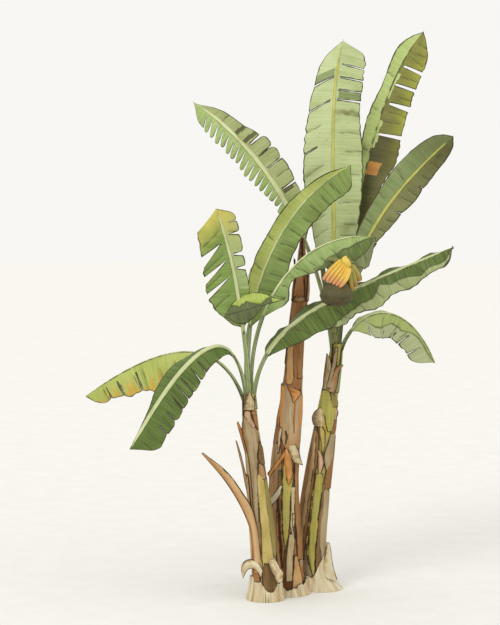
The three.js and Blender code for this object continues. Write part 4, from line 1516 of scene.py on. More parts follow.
@dataclass
class Leaf:
    """A leaf: a petiole and rib on a curve, with a torn and rippled half blade on either side.

    The curve runs from inside the stem's top, where `turn` says on which side, or from `origin`, by `rise`
    and `arch` to `tip`. The blade starts at the share `start` of it, and looks towards `face` there and
    towards `tip_face` at the tip. `ripple` is the height of its waves and `waves` their number. `swell` gives
    the shoulder, neck and bluntness of a half that has no margin.
    """

    name: str
    stem: str
    turn: float
    foot: float
    rise: Triple
    arch: Triple
    tip: Triple
    start: float
    face: Triple
    tip_face: Triple
    left: Half
    right: Half
    ripple: float
    waves: float
    swell: Triple = (0.3, 0.5, 2.2)
    slot: str = "green_leaf"
    rib_tone: LeafTone = LeafTone.RIB
    petiole_tone: LeafTone = LeafTone.PETIOLE
    origin: Triple | None = None
    lobe: "Leaf | None" = None
    rib_share: float = 0.68

    def rib(self) -> Rib:
        """The rib's curve, with its foot inside the stem's top, where the petioles gather.

        Returns:
            The rib.
        """
        if self.origin is None:
            stem = STEMS[self.stem]
            height = stem.top + self.foot - PETIOLE_DEPTH
            centre, radius = stem.at(np.array(height))
            turn = np.radians(self.turn)
            off = float(radius) * GATHERED
            origin = centre + np.array([off * np.cos(turn), off * np.sin(turn), 0.0])
        else:
            origin = np.array(self.origin, float)
        control = np.array([origin, self.rise, self.arch, self.tip], float)
        return Rib(control, self.start, np.array(self.face, float), np.array(self.tip_face, float))

    def rib_radius(self, share: Array) -> Array:
        """The rib's radius: straight from the foot to the blade, and on to the tip.

        Args:
            share: shares of the rib's length.

        Returns:
            The radius there, in millimetres.
        """
        grow = PETIOLE_FOOT + (PETIOLE_BLADE - PETIOLE_FOOT) * share / max(self.start, 1e-6)
        thin = PETIOLE_BLADE + (RIB_TIP - PETIOLE_BLADE) * (share - self.start) / (1 - self.start)
        return np.where(share < self.start, grow, thin)

    def width(self, half: Half, u: Array) -> Array:
        """A half's width at shares of the blade.

        Through a margin's points runs a cubic, whose slope at each is that between its neighbours. Without
        one the width swells up to the shoulder by 1 - (1 - u/shoulder)^2, and falls past the neck by
        1 - ((u - neck)/(1 - neck))^blunt.

        Args:
            half: one side of the blade.
            u: shares of the blade.

        Returns:
            The width there, in millimetres.
        """
        if not half.margin:
            shoulder, neck, blunt = self.swell
            swell = np.where(u < shoulder, 1 - (1 - np.clip(u, 0, 1) / shoulder) ** 2, 1.0)
            past = np.clip((u - neck) / (1 - neck), 0.0, 1.0)
            return np.maximum(NARROWEST, half.width * swell * (1 - past**blunt))
        at, level = np.array(half.margin, float).T
        before, after = np.r_[0, : len(at) - 1], np.r_[1 : len(at), len(at) - 1]
        slope = (level[after] - level[before]) / (at[after] - at[before])
        i = np.clip(np.searchsorted(at, u, side="right") - 1, 0, len(at) - 2)
        span = at[i + 1] - at[i]
        t = np.clip((u - at[i]) / span, 0.0, 1.0)
        straight = level[i] + (level[i + 1] - level[i]) * t * t * (3 - 2 * t)
        return np.maximum(NARROWEST, straight + span * t * (1 - t) * (slope[i] * (1 - t) - slope[i + 1] * t))

    def blade(self, half: Half, sign: float, work: Patchwork, tones: list[LeafTone]) -> None:
        """Adds one half of the blade.

        It is a grid of columns along the blade and rows from the rib to the margin, and a tear has a column
        for each of its sides, which are one and the same as far as its root. The half bends from its fold by
        its curl: the angle at each place is integrated from the rib out, cos for the reach and sin for the
        drop. Ripples grow with the square of the distance from the rib, and torn strips lift, twist and turn
        their sides down.

        Args:
            half: the half's form.
            sign: 1 for the right half, -1 for the left.
            work: where to add it.
            tones: the leaf's finishes so far.
        """
        rib = self.rib()
        long = rib.length * (1 - self.start)
        seed = sum(ord(c) for c in self.name) + int(sign)
        draw = np.random.default_rng(seed)
        stops = [0.0, *(tear.at for tear in sorted(half.tears)), 1.0]
        widest = float(self.width(half, np.linspace(0, 1, 41)).max())
        v = 1 - (1 - np.linspace(0, 1, int(np.clip(widest / 11, 10, 24)) + 1)) ** 1.15
        u, strip, s, free = self._strips(half, v, long)
        level, seam_rows = self._levelled(half, v, u)
        lifts, twists, cuts, tints = (draw.uniform(-1, 1, len(stops)) for _ in range(4))
        cut = half.ends * (0.5 + 0.5 * cuts[strip]) * free[-1]
        corner = half.point * np.abs(2 * s - 1) ** 3 * free[-1] * (draw.uniform(0.5, 1.3, len(stops))[strip])
        wavy = 0.018 * (1 + waver(np.linspace(0, long / 32, len(s)), seed + 1)) * self._calm(u[-1])
        margin = 1 - cut - corner - wavy
        vv = level * margin
        width = self.width(half, u)
        turn = np.radians(half.fold + half.curl * vv)
        rate = margin * width
        out, down = running_sum(np.cos(turn) * rate, level), running_sum(np.sin(turn) * rate, level)
        share = self.start + (1 - self.start) * u + half.lean * vv * width / rib.length
        centre, _, up, right = rib.frame(share)
        wave = self.ripple * vv**2 * np.sin(2 * np.pi * self.waves * u + sign)
        wave = wave + 0.22 * self.ripple * vv**3 * waver(u * long / 34, seed + 3, vv * 2)
        loose = half.loose * free**1.5
        wave = wave + loose * (lifts[strip] + 1.2 * twists[strip] * (s - 0.5))
        wave = wave - 0.7 * loose * np.abs(2 * s - 1) ** 3
        # line and shade are painted shade along and beside each crease
        line, shade, groove = self._creased(half, u, vv, long)
        for seam in half.seams:
            past = (level - seam.line(u)) * width
            # a dark line of painted shade along the seam's fold
            line = np.maximum(line, seam.held(u, 0.01) * np.exp(-((past / 4.5) ** 2)))
            groove = groove + seam.step * seam.held(u) * smooth(past, 0.0, 12.0)
        tilt = sign * turn
        face = up * np.cos(tilt)[..., None] + right * np.sin(tilt)[..., None]
        point = centre + sign * out[..., None] * right - down[..., None] * up + wave[..., None] * up
        point = point + (groove - 2.5 * free * line)[..., None] * face
        tone = (0.5 + 0.5 * tints[strip]) * (0.25 + 0.75 * free[-1])
        span = np.diff(np.array(stops))[strip] * long
        to_tear = np.where(free > 0.02, np.minimum(s, 1 - s) * span, NO_EDGE)
        whole = (strip == 0) & (s < 0.5) | (strip == len(stops) - 2) & (s > 0.5)
        edge = np.minimum((1 - level) * width * margin, np.where(whole, NO_EDGE, to_tear))
        lay = marks((share - self.start) * rib.length * MM, sign * vv * width * MM, tone)
        # the crease mark: painted shade along and beside the creases and seams
        age = marks(edge * MM, np.clip(line + shade, 0, 1), self._blushed(half, u, vv, seed))
        index = self._welded(half, v, strip)
        finish, under = self._finishes(half, u, vv, seam_rows, tones)
        faces = cells(index)
        within = np.diff(strip) == 0
        faces, finish = faces[:, within].reshape(-1, 4), finish[:, within].reshape(-1)
        if sign > 0:
            faces = faces[:, ::-1]
        used, fresh = np.unique(faces, return_inverse=True)
        point, lay, age = (x.reshape(-1, 3)[used] for x in (point * MM, lay, age))
        work.add_slab(point, fresh.reshape(-1, 4), BLADE_SLAB, finish, under, lay, age)

    def _strips(self, half: Half, v: Array, long: float) -> tuple[Array, ...]:
        """Lays a half's columns out, strip by strip between its tears.

        Args:
            half: the half's form.
            v: the rows' shares of the width.
            long: the blade's length.

        Returns:
            The share of the blade at each place of the grid; each column's strip, and its share of the way
            across that strip; and how free the strip is at each place, from 0 at its tears' roots to 1.
        """
        whole = Tear(0.0, 1.0, 0.0, 0.0)
        torn = [whole, *sorted(half.tears), Tear(1.0, 1.0, 0.0, 0.0)]
        columns, strips, shares, opened = [], [], [], []
        for k, (before, after) in enumerate(zip(torn[:-1], torn[1:])):
            low, high = before.at, after.at
            count = max(4, int(round((high - low) * long / BLADE_STEP))) + 1
            s = np.linspace(0, 1, count)
            a, b = (self._opening(tear, v)[:, None] / long / 2 for tear in (before, after))
            columns.append(low + (high - low) * s + a * (1 - s) - b * s)
            strips.append(np.full(count, k))
            shares.append(s)
            root = min(before.root, after.root)
            grown = np.clip((v - root) / max(1 - root, 1e-6), 0, 1) * (root < 1)
            opened.append(grown[:, None] * np.ones(count))
        return np.hstack(columns), np.concatenate(strips), np.concatenate(shares), np.hstack(opened)

    @staticmethod
    def _levelled(half: Half, v: Array, u: Array) -> tuple[Array, list[int]]:
        """Draws the grid's rows on to the half's seams, and spreads those between them as evenly as before.

        Args:
            half: the half's form, with its seams from the inner to the outer.
            v: the rows' shares of the width.
            u: the share of the blade at each place of the grid.

        Returns:
            The share of the width at each place, and the row that lies on each seam.
        """
        knots, rows = [(0, np.zeros(u.shape[1]))], []
        for seam in half.seams:
            line = seam.line(u[-1])
            row = max(int(np.abs(v - np.mean(np.array(seam.path)[:, 1])).argmin()), knots[-1][0] + 2)
            knots.append((row, v[row] + (line - v[row]) * seam.held(u[-1])))
            rows.append(row)
        knots.append((len(v) - 1, np.ones(u.shape[1])))
        level = np.empty_like(u)
        for (a, low), (b, high) in zip(knots[:-1], knots[1:]):
            t = (v[a : b + 1] - v[a]) / (v[b] - v[a])
            level[a : b + 1] = low + (high - low) * t[:, None]
        return level, rows

    @staticmethod
    def _opening(tear: Tear, v: Array) -> Array:
        """How far a tear is open at each row: nothing to its root, then from `inner` straight to `gap`."""
        past = np.clip((v - tear.root) / max(1 - tear.root, 1e-6), 0, 1)
        return np.where(past > 0, tear.inner + (tear.gap - tear.inner) * past, 0.0)

    @staticmethod
    def _calm(u: Array) -> Array:
        """1 along the blade and 0 at its two ends, where the outline is left as it is."""
        return smooth(u, 0.0, 0.08) * (1 - smooth(u, 0.93, 1.0))

    @staticmethod
    def _creased(half: Half, u: Array, v: Array, long: float) -> tuple[Array, ...]:
        """The creases at some places of a half, and the shade painted along them.

        Args:
            half: the half, with the shares of the blade where its creases are.
            u: the share along the blade.
            v: the share of the width.
            long: the blade's length.

        Returns:
            The dark line of painted shade, exp(-(d/3.6)^2), with d the distance from the crease; the soft
            painted shade on its far side, exp(-d/26); and the groove, exp(-(d/11)^2).
        """
        line, shade, groove = np.zeros_like(u), np.zeros_like(u), np.zeros_like(u)
        for k, at in enumerate(half.creases):
            d = (u - at) * long + 5 * np.sin(v * 5 + k * 2.4)
            inner, outer = 0.08 + 0.3 * spread(k), 0.8 + 0.3 * spread(2 * k)
            held = smooth(v, inner, inner + 0.12) * (1 - smooth(v, outer, outer + 0.1))
            line = line + held * np.exp(-((d / 3.6) ** 2)) * 0.85
            shade = shade + held * 0.3 * np.exp(-np.maximum(d, 0) / 26) * (d > -3)
            groove = groove - held * 3.0 * np.exp(-((d / 11) ** 2))
        return np.clip(line, 0, 1), np.clip(shade, 0, 0.4), groove

    @staticmethod
    def _blushed(half: Half, u: Array, v: Array, seed: int) -> Array:
        """How strong the blush is: each one is exp(-(du/long)^2 - (dv/wide)^2), stirred a little.

        Args:
            half: the half's form.
            u: the share of the blade at each place of the grid.
            v: the share of the width.
            seed: the stirring's seed.

        Returns:
            The blush at each place, from 0 to 1.
        """
        ripe = np.zeros_like(u)
        stir, y = waver(v * 7, seed + 6, u * 9), v + 0.05 * waver(u * 30, seed + 7, v * 3)
        for b in half.blushes:
            x = u + min(0.02, 0.4 * b.long) * stir
            soft = np.exp(-(((x - b.at) / b.long) ** 2) - ((y - b.across) / b.wide) ** 2)
            ripe = np.maximum(ripe, b.strength * soft)
        return np.clip(ripe * 1.15, 0, 1)

    @staticmethod
    def _welded(half: Half, v: Array, strip: Array) -> Array:
        """The grid's point numbers, which two strips share as far as the root of the tear between them.

        Args:
            half: the half's form.
            v: the rows' shares of the width.
            strip: the number of each column's strip.

        Returns:
            The point numbers, row by row.
        """
        index = np.arange(len(v) * len(strip)).reshape(len(v), len(strip))
        for tear, c in zip(sorted(half.tears), np.flatnonzero(np.diff(strip))):
            whole = v <= tear.root + 1e-9
            index[whole, c + 1] = index[whole, c]
        return index

    @staticmethod
    def _finishes(
        half: Half, u: Array, v: Array, seam_rows: list[int], tones: list[LeafTone]
    ) -> tuple[Array, int]:
        """The finishes of a half: its own, those of its patches, and those beyond its seams.

        Args:
            half: the half's form.
            u: the share of the blade at each place of the grid.
            v: the share of the width.
            seam_rows: the row that lies on each seam.
            tones: the leaf's finishes so far.

        Returns:
            The finish of each cell above, and the one below.
        """
        across, beside = ((x[:-1, :-1] + x[1:, 1:]) / 2 for x in (v, u))
        finish = np.full(across.shape, place_of(half.tone, tones))
        under = place_of(half.under, tones)
        for n, patch in enumerate(half.patches):
            sway = 2 * PATCH_SWAY * waver(beside * 22, n + 3, across * 2)
            inside = (beside > patch.start) & (beside < patch.end)
            inside &= (across > patch.inner + sway) & (across < patch.outer + sway)
            finish[inside] = place_of(patch.tone, tones)
        for seam, row in zip(half.seams, seam_rows):
            beyond = (beside > seam.path[0][0]) & (beside < seam.path[-1][0])
            beyond[:row] = False
            finish[beyond] = place_of(seam.tone, tones)
        return finish, under

    def add_rib(self, work: Patchwork, tones: list[LeafTone]) -> None:
        """Adds the petiole and the rib as one tube.

        Its section is round below. Above, the petiole is a channel with raised sides, and along the blade the
        rib's top is a low dome with a shallow groove. It thins towards the tip and ends in a point.

        Args:
            work: the leaf's mesh.
            tones: the leaf's finishes so far.
        """
        rib = self.rib()
        petiole = self.origin is None
        share = np.linspace(0.0 if petiole else self.start, RIB_END, int(rib.length / 12))
        around = 20
        share, angle = grid(share, np.linspace(0, 2 * np.pi, around, endpoint=False))
        centre, _, up, right = rib.frame(share)
        bladed = smooth(share, self.start - 0.015, self.start + 0.05)
        slim = 1 - (1 - self.rib_share) * bladed
        radius = self.rib_radius(share) * slim * (1 - smooth(share, 0.9, RIB_END) * 0.86)
        if petiole:
            radius = radius * (1 + 0.35 * (1 - smooth(share, 0.0, 0.16)))
        sine, cosine = np.sin(angle), np.cos(angle)
        over = np.clip(sine, 0, 1)
        channel = 0.62 * np.sqrt(over) * np.abs(cosine) - 0.3 * over**2
        dome = 0.62 * over**0.8 - 0.22 * over**8
        high = np.where(sine > 0, channel * (1 - bladed) + dome * bladed, sine * 0.95)
        point = centre + (radius * cosine)[..., None] * right + (radius * high)[..., None] * up
        along = share * rib.length
        to_side = np.minimum(np.abs(np.mod(angle + np.pi, 2 * np.pi) - np.pi), np.abs(angle - np.pi)) * radius
        edge = to_side * (1 - 0.4 * bladed) + 2.5 * bladed
        blotch = smooth(waver(along / 60, int(self.turn) + 3, angle), 0.5, 1.4) * 0.3
        lay = marks(angle * radius * MM * 0.4, along * MM, 0.5)
        age = marks(edge * MM, blotch * 0.5, blotch)
        finish = np.full(share.size, place_of(self.rib_tone, tones))
        if petiole:
            bare = np.flatnonzero(share[:-1] < self.start + 0.01)
            finish[bare] = place_of(self.petiole_tone, tones)
        work.add_tube(point * MM, finish, lay, age)

    def build(self) -> bpy.types.Object:
        """The whole leaf as one object.

        Returns:
            The object, riding on the root body.
        """
        work, tones = Patchwork(), []
        for part in (self, self.lobe):
            if part is not None:
                part.blade(part.left, -1.0, work, tones)
                part.blade(part.right, 1.0, work, tones)
                part.add_rib(work, tones)
        return work.build(f"{self.name}_blade", tones, self.slot, self.name)


def tears(*places: float, root: float = 0.4, gap: float = 10.0, inner: float = 1.0) -> tuple[Tear, ...]:
    """Tears of one form at several shares of the blade."""
    return tuple(Tear(at, root, gap, inner) for at in places)


def comb(count: int) -> tuple[Tear, ...]:
    """Close tears that make a comb of leaflets, whose depth and gap change a little from one to the next."""
    places = ((i, 0.1 + 0.82 * (i + 0.5) / count) for i in range(count))
    return tuple(Tear(at, 0.2 + 0.12 * spread(i), 17 + 9 * ((i * 0.618) % 1), 3.0) for i, at in places)


L = LeafTone  # short, for the table
LEAVES: tuple[Leaf, ...] = (
    Leaf(
        "leaf_left_far", "left", turn=180, foot=-20, rise=(-519, -120, 2097), arch=(-965, 120, 2078),
        tip=(-1663, 330, 1559), start=0.27, face=(0.2, -0.2, 1), tip_face=(-0.3, -0.25, 1), ripple=12,
        waves=4, swell=(0.3, 0.35, 2.6),
        left=Half(
            L.LIME, fold=58, curl=10, lean=-0.05,
            margin=((0, 10), (0.1, 190), (0.25, 265), (0.45, 280), (0.7, 220), (0.8, 180), (0.9, 165),
                (0.97, 75), (1, 5)),
            tears=(Tear(0.61, 0.2, 2), Tear(0.76, 0.2, 2), *tears(0.36, 0.85, root=0.72, gap=3)),
            creases=(0.22, 0.3, 0.43, 0.56, 0.63, 0.75, 0.87),
            blushes=(Blush(0.58, 1.0, 0.3, 0.17), Blush(0.35, 1.0, 0.12, 0.2, 0.9),
                Blush(0.93, 1.0, 0.1, 0.25, 0.8),
                *(Blush(at, 0.86, 0.018, 0.36) for at in (0.4, 0.45, 0.52, 0.66, 0.7, 0.8, 0.86))),
        ),
        right=Half(
            L.LIME, fold=25, curl=20, lean=0.1, width=200, tears=tears(0.6, gap=14),
            creases=(0.3, 0.45, 0.7), blushes=(Blush(0.8, 1.0, 0.2, 0.3),),
        ),
    ),
    Leaf(
        "leaf_left_near", "left", turn=228, foot=-30, rise=(-398, -340, 2249), arch=(-704, -640, 2240),
        tip=(-1228, -880, 1290), start=0.26, face=(0, -0.5, 1), tip_face=(0.15, -1, 0.3), ripple=6, waves=5,
        rib_share=1.3,
        left=Half(
            L.DEEP, fold=12, curl=14, lean=0.2,
            margin=((0, 10), (0.1, 92), (0.3, 155), (0.5, 190), (0.8, 214), (0.9, 190), (0.97, 65), (1, 5)),
            tears=tuple((Tear(at, root, 2) for at, root in ((0.33, 0.2), (0.39, 0.28), (0.48, 0.15),
                (0.53, 0.24), (0.6, 0.48), (0.69, 0.56), (0.78, 0.5)))),
            creases=(0.18, 0.27, 0.44, 0.57, 0.64, 0.73, 0.85, 0.92), blushes=(Blush(0.55, 1.02, 0.5, 0.08),),
        ),
        right=Half(
            L.DEEP, fold=24, curl=14, lean=0.2,
            margin=((0, 5), (0.1, 35), (0.3, 95), (0.45, 138), (0.6, 102), (0.75, 42), (0.9, 14), (1, 5)),
            creases=(0.3, 0.5, 0.7),
        ),
    ),
    Leaf(
        "leaf_left_upright", "left", turn=277, foot=0, rise=(-351, -330, 2114), arch=(-428, -480, 2694),
        tip=(-581, -600, 3106), start=0.36, face=(-0.05, -1, 0.2), tip_face=(0.05, -1, 0.1), ripple=8,
        waves=3, rib_share=1.0,
        left=Half(
            L.SPRING, fold=12, curl=14, lean=-0.75,
            margin=((0, 5), (0.06, 14), (0.13, 80), (0.2, 125), (0.35, 215), (0.5, 263), (0.7, 250),
                (0.85, 232), (1, 212)),
            tears=(Tear(0.49, 0.16, 52), Tear(0.62, 0.16, 62), Tear(0.765, 0.24, 84)),
            creases=(0.86, 0.36, 0.56, 0.68),
            blushes=(Blush(1.0, 0.3, 0.14, 1.2, 0.9), Blush(0.1, 0.6, 0.1, 0.3, 0.25)), point=0.03,
        ),
        right=Half(
            L.SPRING_PALE, fold=10, curl=12, lean=-0.2,
            margin=((0, 5), (0.05, 12), (0.12, 50), (0.3, 98), (0.6, 114), (0.8, 129), (0.94, 125), (1, 10)),
            tears=(Tear(0.52, 0.25, 34), Tear(0.63, 0.22, 34), Tear(0.79, 0.42, 20), Tear(0.88, 0.5, 8)),
            creases=(0.25, 0.8), blushes=(Blush(1.0, 0.5, 0.22, 1.0),),
            patches=(Patch(L.SPRING, -0.1, 0.36),),
        ),
        lobe=Leaf(
            "lobe", "left", turn=0, foot=0, origin=(-518, -408, 2273), rise=(-359, -468, 2318),
            arch=(-200, -470, 2364), tip=(-41, -430, 2409), start=0.0, face=(0, -1, 0.3),
            tip_face=(0, -1, 0.4), ripple=4, waves=2, rib_tone=L.LOBE_UNDER, rib_share=0.3,
            left=Half(
                L.LOBE_UNDER, fold=-16, curl=46, lean=0, under=L.LOBE,
                margin=((0, 5), (0.16, 79), (0.3, 123), (0.5, 127), (0.62, 110), (0.72, 84), (0.8, 46),
                    (0.9, 16), (1, 5)),
                patches=(Patch(L.LOBE, 0.78, 1.1, -0.1),),
                seams=(Seam(L.LOBE, ((0.13, 0.97), (0.22, 0.5), (0.27, 0.25), (0.31, 0.42), (0.35, 0.38),
                    (0.39, 0.5), (0.44, 0.36), (0.52, 0.2), (0.6, 0.08), (0.66, 0.25), (0.72, 0.5),
                    (0.8, 0.85)), 5),),
            ),
            right=Half(
                L.LOBE_UNDER, fold=8, curl=14, lean=0, under=L.LOBE,
                margin=((0, 5), (0.1, 62), (0.19, 98), (0.31, 103), (0.48, 67), (0.64, 8), (1, 5)),
                creases=(0.2, 0.36, 0.5), patches=(Patch(L.LOBE, 0.78, 1.1, -0.1),),
            ),
        ),
    ),
    Leaf(
        "leaf_left_tall", "left", turn=98, foot=0, rise=(-436, -120, 2194), arch=(-170, 20, 3116),
        tip=(477, -80, 3439), start=0.28, face=(-0.3, -1, 0.1), tip_face=(0.1, -1, 0.3), ripple=22, waves=4,
        left=Half(L.FOLD, fold=-30, curl=-30, lean=0.2, under=L.FOLD, width=120, creases=(0.3, 0.45)),
        right=Half(
            L.MEADOW, fold=8, curl=14, lean=0.1,
            margin=((0, 15), (0.1, 140), (0.25, 200), (0.4, 170), (0.6, 170), (0.85, 175), (0.94, 150),
                (1, 5)),
            creases=(0.2, 0.29, 0.38, 0.46, 0.54, 0.63, 0.7, 0.78, 0.86),
        ),
    ),
    Leaf(
        "leaf_left_arching", "left", turn=18, foot=-10, rise=(-388, -330, 2222), arch=(-3, -310, 2958),
        tip=(663, -260, 2880), start=0.38, face=(-0.4, -0.8, 0.6), tip_face=(0, -0.5, 1), ripple=18, waves=4,
        swell=(0.3, 0.6, 1.9),
        left=Half(
            L.UNDER_OLIVE, fold=50, curl=20, lean=0.1, under=L.UNDER_OLIVE, width=160, creases=(0.4, 0.6),
        ),
        right=Half(
            L.SOFT, fold=32, curl=12, lean=0.4, under=L.UNDER_OLIVE,
            margin=((0, 15), (0.1, 120), (0.3, 80), (0.4, 119), (0.5, 182), (0.7, 215), (0.8, 290),
                (0.9, 210), (1, 15)),
            creases=(0.16, 0.24, 0.32, 0.4, 0.48, 0.56, 0.66, 0.76, 0.86),
            seams=(Seam(L.FOREST, ((0.46, 0.97), (0.51, 0.85), (0.6, 0.55), (0.68, 0.52), (0.73, 0.38),
                (0.84, 0.22), (1, 0.1)), 3), Seam(L.UNDER_OLIVE, ((0.72, 0.97), (0.73, 0.88), (0.8, 0.67),
                (0.86, 0.58), (1, 0.6)), 5)),
        ),
    ),
    Leaf(
        "leaf_left_broad", "left", turn=328, foot=-30, rise=(-281, -300, 2246), arch=(315, -120, 2376),
        tip=(1270, -300, 2803), start=0.2, face=(0, -0.6, 1), tip_face=(0, -0.5, 1), ripple=20, waves=5,
        rib_share=1.3,
        left=Half(
            L.FOREST, fold=16, curl=14, lean=0.1,
            margin=((0, 30), (0.03, 84), (0.07, 70), (0.1, 72), (0.13, 112), (0.17, 100), (0.22, 150),
                (0.35, 170), (0.55, 160), (0.75, 128), (0.9, 66), (1, 5)),
            creases=(0.3, 0.5, 0.7),
        ),
        right=Half(
            L.FOREST, fold=44, curl=16, lean=0.55, under=L.UNDER_PALE,
            margin=((0, 40), (0.04, 90), (0.1, 130), (0.25, 200), (0.5, 205), (0.7, 164), (0.88, 120),
                (0.96, 55), (1, 5)),
            creases=(0.18, 0.28, 0.37, 0.46, 0.57, 0.68, 0.8),
            seams=(Seam(L.UNDER_PALE, ((0.28, 0.96), (0.33, 0.78), (0.42, 0.76), (0.48, 0.6), (0.53, 0.61),
                (0.57, 0.5), (0.61, 0.24), (0.65, 0.5), (0.69, 0.42), (0.74, 0.5), (0.78, 0.8), (0.84, 0.6),
                (0.92, 0.72), (1, 0.6)), 6),),
        ),
    ),
    Leaf(
        "leaf_left_back", "left", turn=127, foot=0, rise=(-350, 0, 2250), arch=(-260, 420, 2760),
        tip=(-60, 1150, 2790), start=0.34, face=(-0.3, -0.6, 1), tip_face=(0, 0.3, 1), ripple=14, waves=4,
        left=Half(
            L.MEADOW, fold=25, curl=25, lean=0.1, width=200, tears=tears(0.4, 0.7, gap=14),
            creases=(0.2, 0.3, 0.5, 0.6, 0.8),
        ),
        right=Half(
            L.MEADOW, fold=25, curl=25, lean=0.1, width=200, tears=tears(0.55, gap=14),
            creases=(0.25, 0.4, 0.65, 0.75),
        ),
    ),
    Leaf(
        "leaf_right_combed", "right", turn=190, foot=0, rise=(259, 120, 2884), arch=(-256, 130, 3629),
        tip=(-776, 420, 3953), start=0.39, face=(-0.2, -1, 0.2), tip_face=(0, -1, 0.3), ripple=8, waves=4,
        rib_share=1.25,
        left=Half(
            L.COMB, fold=12, curl=16, lean=-0.4,
            margin=((0, 10), (0.1, 60), (0.3, 120), (0.5, 171), (0.65, 185), (0.85, 165), (0.95, 115),
                (1, 10)),
            tears=comb(19), ends=0.22, point=0.16, loose=16,
        ),
        right=Half(
            # the underside is painted in the fold-shade colour
            L.COMB_BROAD, fold=14, curl=18, lean=0.1, under=L.FOLD_DARK,
            margin=((0, 10), (0.1, 120), (0.3, 185), (0.45, 212), (0.6, 200), (0.7, 137), (0.88, 95),
                (1, 5)),
            tears=(Tear(0.12, 0.2, 46), Tear(0.3, 0.18, 14), Tear(0.44, 0.12, 9), Tear(0.6, 0.12, 30),
                Tear(0.52, 0.8, 8)),
            creases=(0.2, 0.37, 0.7, 0.8),
            # dark strips of painted shade beside the tears
            patches=(Patch(L.FOLD_DARK, 0.275, 0.31, 0.2, 0.75), Patch(L.FOLD_DARK, 0.62, 0.645, 0.1),
                Patch(L.FOLD_DARK, 0.685, 0.71, 0.1), Patch(L.FOLD_DARK, 0.08, 0.12, 0.2, 0.9)),
            point=0.14, loose=18,
        ),
    ),
    Leaf(
        "leaf_right_tallest", "right", turn=138, foot=10, rise=(397, 340, 2918), arch=(285, 470, 3895),
        tip=(447, 640, 4467), start=0.25, face=(0, -1, 0.15), tip_face=(0, -1, 0.25), ripple=6, waves=4,
        slot="pale_leaf", rib_tone=L.RIB_YELLOW, petiole_tone=L.PETIOLE_DARK, rib_share=0.95,
        left=Half(
            L.PALE, fold=10, curl=12, lean=-0.55, under=L.UNDER_GREY,
            margin=((0, 10), (0.1, 130), (0.3, 205), (0.5, 262), (0.7, 235), (0.88, 176), (0.95, 130),
                (1, 10)),
            tears=(Tear(0.575, 0.5, 3), Tear(0.745, 0.1, 8), Tear(0.845, 0.05, 14)),
            # the blush beside the crease at 0.48 is painted shade
            creases=(0.1, 0.2, 0.27, 0.36, 0.48, 0.66), blushes=(Blush(0.48, 0.7, 0.015, 0.4, 0.5),),
            patches=(Patch(L.SAGE, 0.848, 0.885, 0.1),), point=0.03,
        ),
        right=Half(
            L.PALE, fold=8, curl=10, lean=0, under=L.UNDER_GREY,
            margin=((0, 10), (0.08, 150), (0.2, 215), (0.45, 265), (0.7, 235), (0.88, 235), (0.97, 195),
                (1, 10)),
            tears=(Tear(0.742, 0.05, 16), Tear(0.785, 0.08, 7), Tear(0.84, 0.08, 10), Tear(0.899, 0.08, 10)),
            creases=(0.07, 0.16, 0.21, 0.3, 0.42, 0.52, 0.597, 0.68),
            # the blushes beside the creases at 0.21 and 0.68 are painted shade
            blushes=(Blush(0.69, 0.5, 0.012, 0.7, 0.8), Blush(0.2, 0.6, 0.02, 0.4, 0.6)),
            patches=(Patch(L.SAGE, 0.748, 0.781, 0.1),), point=0.03,
        ),
    ),
    Leaf(
        "leaf_right_tattered", "right", turn=38, foot=0, rise=(502, 480, 2873), arch=(682, 820, 4031),
        tip=(1145, 1100, 4572), start=0.3, face=(-0.5, -1, 0.1), tip_face=(-0.35, -1, 0.2), ripple=10,
        waves=4, slot="olive_leaf", rib_tone=L.STRIP, petiole_tone=L.PETIOLE_DARK,
        # the left half is painted bright partly as light, and its blush beside the crease at 0.42 is painted
        # shade
        left=Half(
            L.BRIGHT, fold=-20, curl=-8, lean=0.1, under=L.UMBER,
            margin=((0, 5), (0.1, 45), (0.3, 65), (0.5, 105), (0.7, 84), (0.88, 100), (0.95, 60), (1, 5)),
            creases=(0.3, 0.42, 0.6, 0.76), blushes=(Blush(0.42, 0.8, 0.03, 0.6, 0.7),),
        ),
        # the right half's olive and umber are partly the leaf's own browning, partly painted shade
        right=Half(
            L.OLIVE, fold=12, curl=10, lean=0.05, under=L.UMBER,
            margin=((0, 10), (0.1, 80), (0.3, 180), (0.4, 240), (0.6, 220), (0.8, 200), (0.9, 170),
                (0.97, 75), (1, 5)),
            tears=(*tears(0.5, 0.73, 0.82, root=0.16, gap=34, inner=18), Tear(0.64, 0.2, 55, 20)),
            creases=(0.56, 0.6, 0.68, 0.77, 0.86, 0.9, 0.94), blushes=(Blush(0.7, 1.0, 0.4, 0.4, 0.9),),
            patches=(Patch(L.UMBER, -0.1, 0.5), Patch(L.SCORCHED, 0.322, 0.378, 0.0, 0.5),
                Patch(L.BRIGHT, 0.44, 0.56, -0.1, 0.14), Patch(L.BRIGHT, 0.66, 0.78, -0.1, 0.12)),
            point=0.03,
        ),
    ),
    Leaf(
        "leaf_right_leaning", "right", turn=300, foot=-10, rise=(429, 150, 2762), arch=(813, 20, 3246),
        tip=(1279, -150, 3667), start=0.25, face=(-0.1, -1, 0.1), tip_face=(0, -1, 0.3), ripple=14, waves=4,
        slot="olive_leaf", rib_tone=L.RIB_YELLOW, petiole_tone=L.PETIOLE_DARK, rib_share=0.85,
        left=Half(
            L.SAGE, fold=12, curl=12, lean=0.15,
            margin=((0, 5), (0.1, 70), (0.3, 110), (0.5, 140), (0.7, 170), (0.88, 140), (0.95, 85), (1, 5)),
            creases=(0.25, 0.38, 0.52, 0.66), blushes=(Blush(0.95, 0.5, 0.2, 1.0, 0.9),),
        ),
        right=Half(
            L.TAN_OLIVE, fold=16, curl=12, lean=0.15,
            margin=((0, 5), (0.1, 60), (0.3, 95), (0.5, 147), (0.6, 157), (0.8, 126), (0.95, 70), (1, 5)),
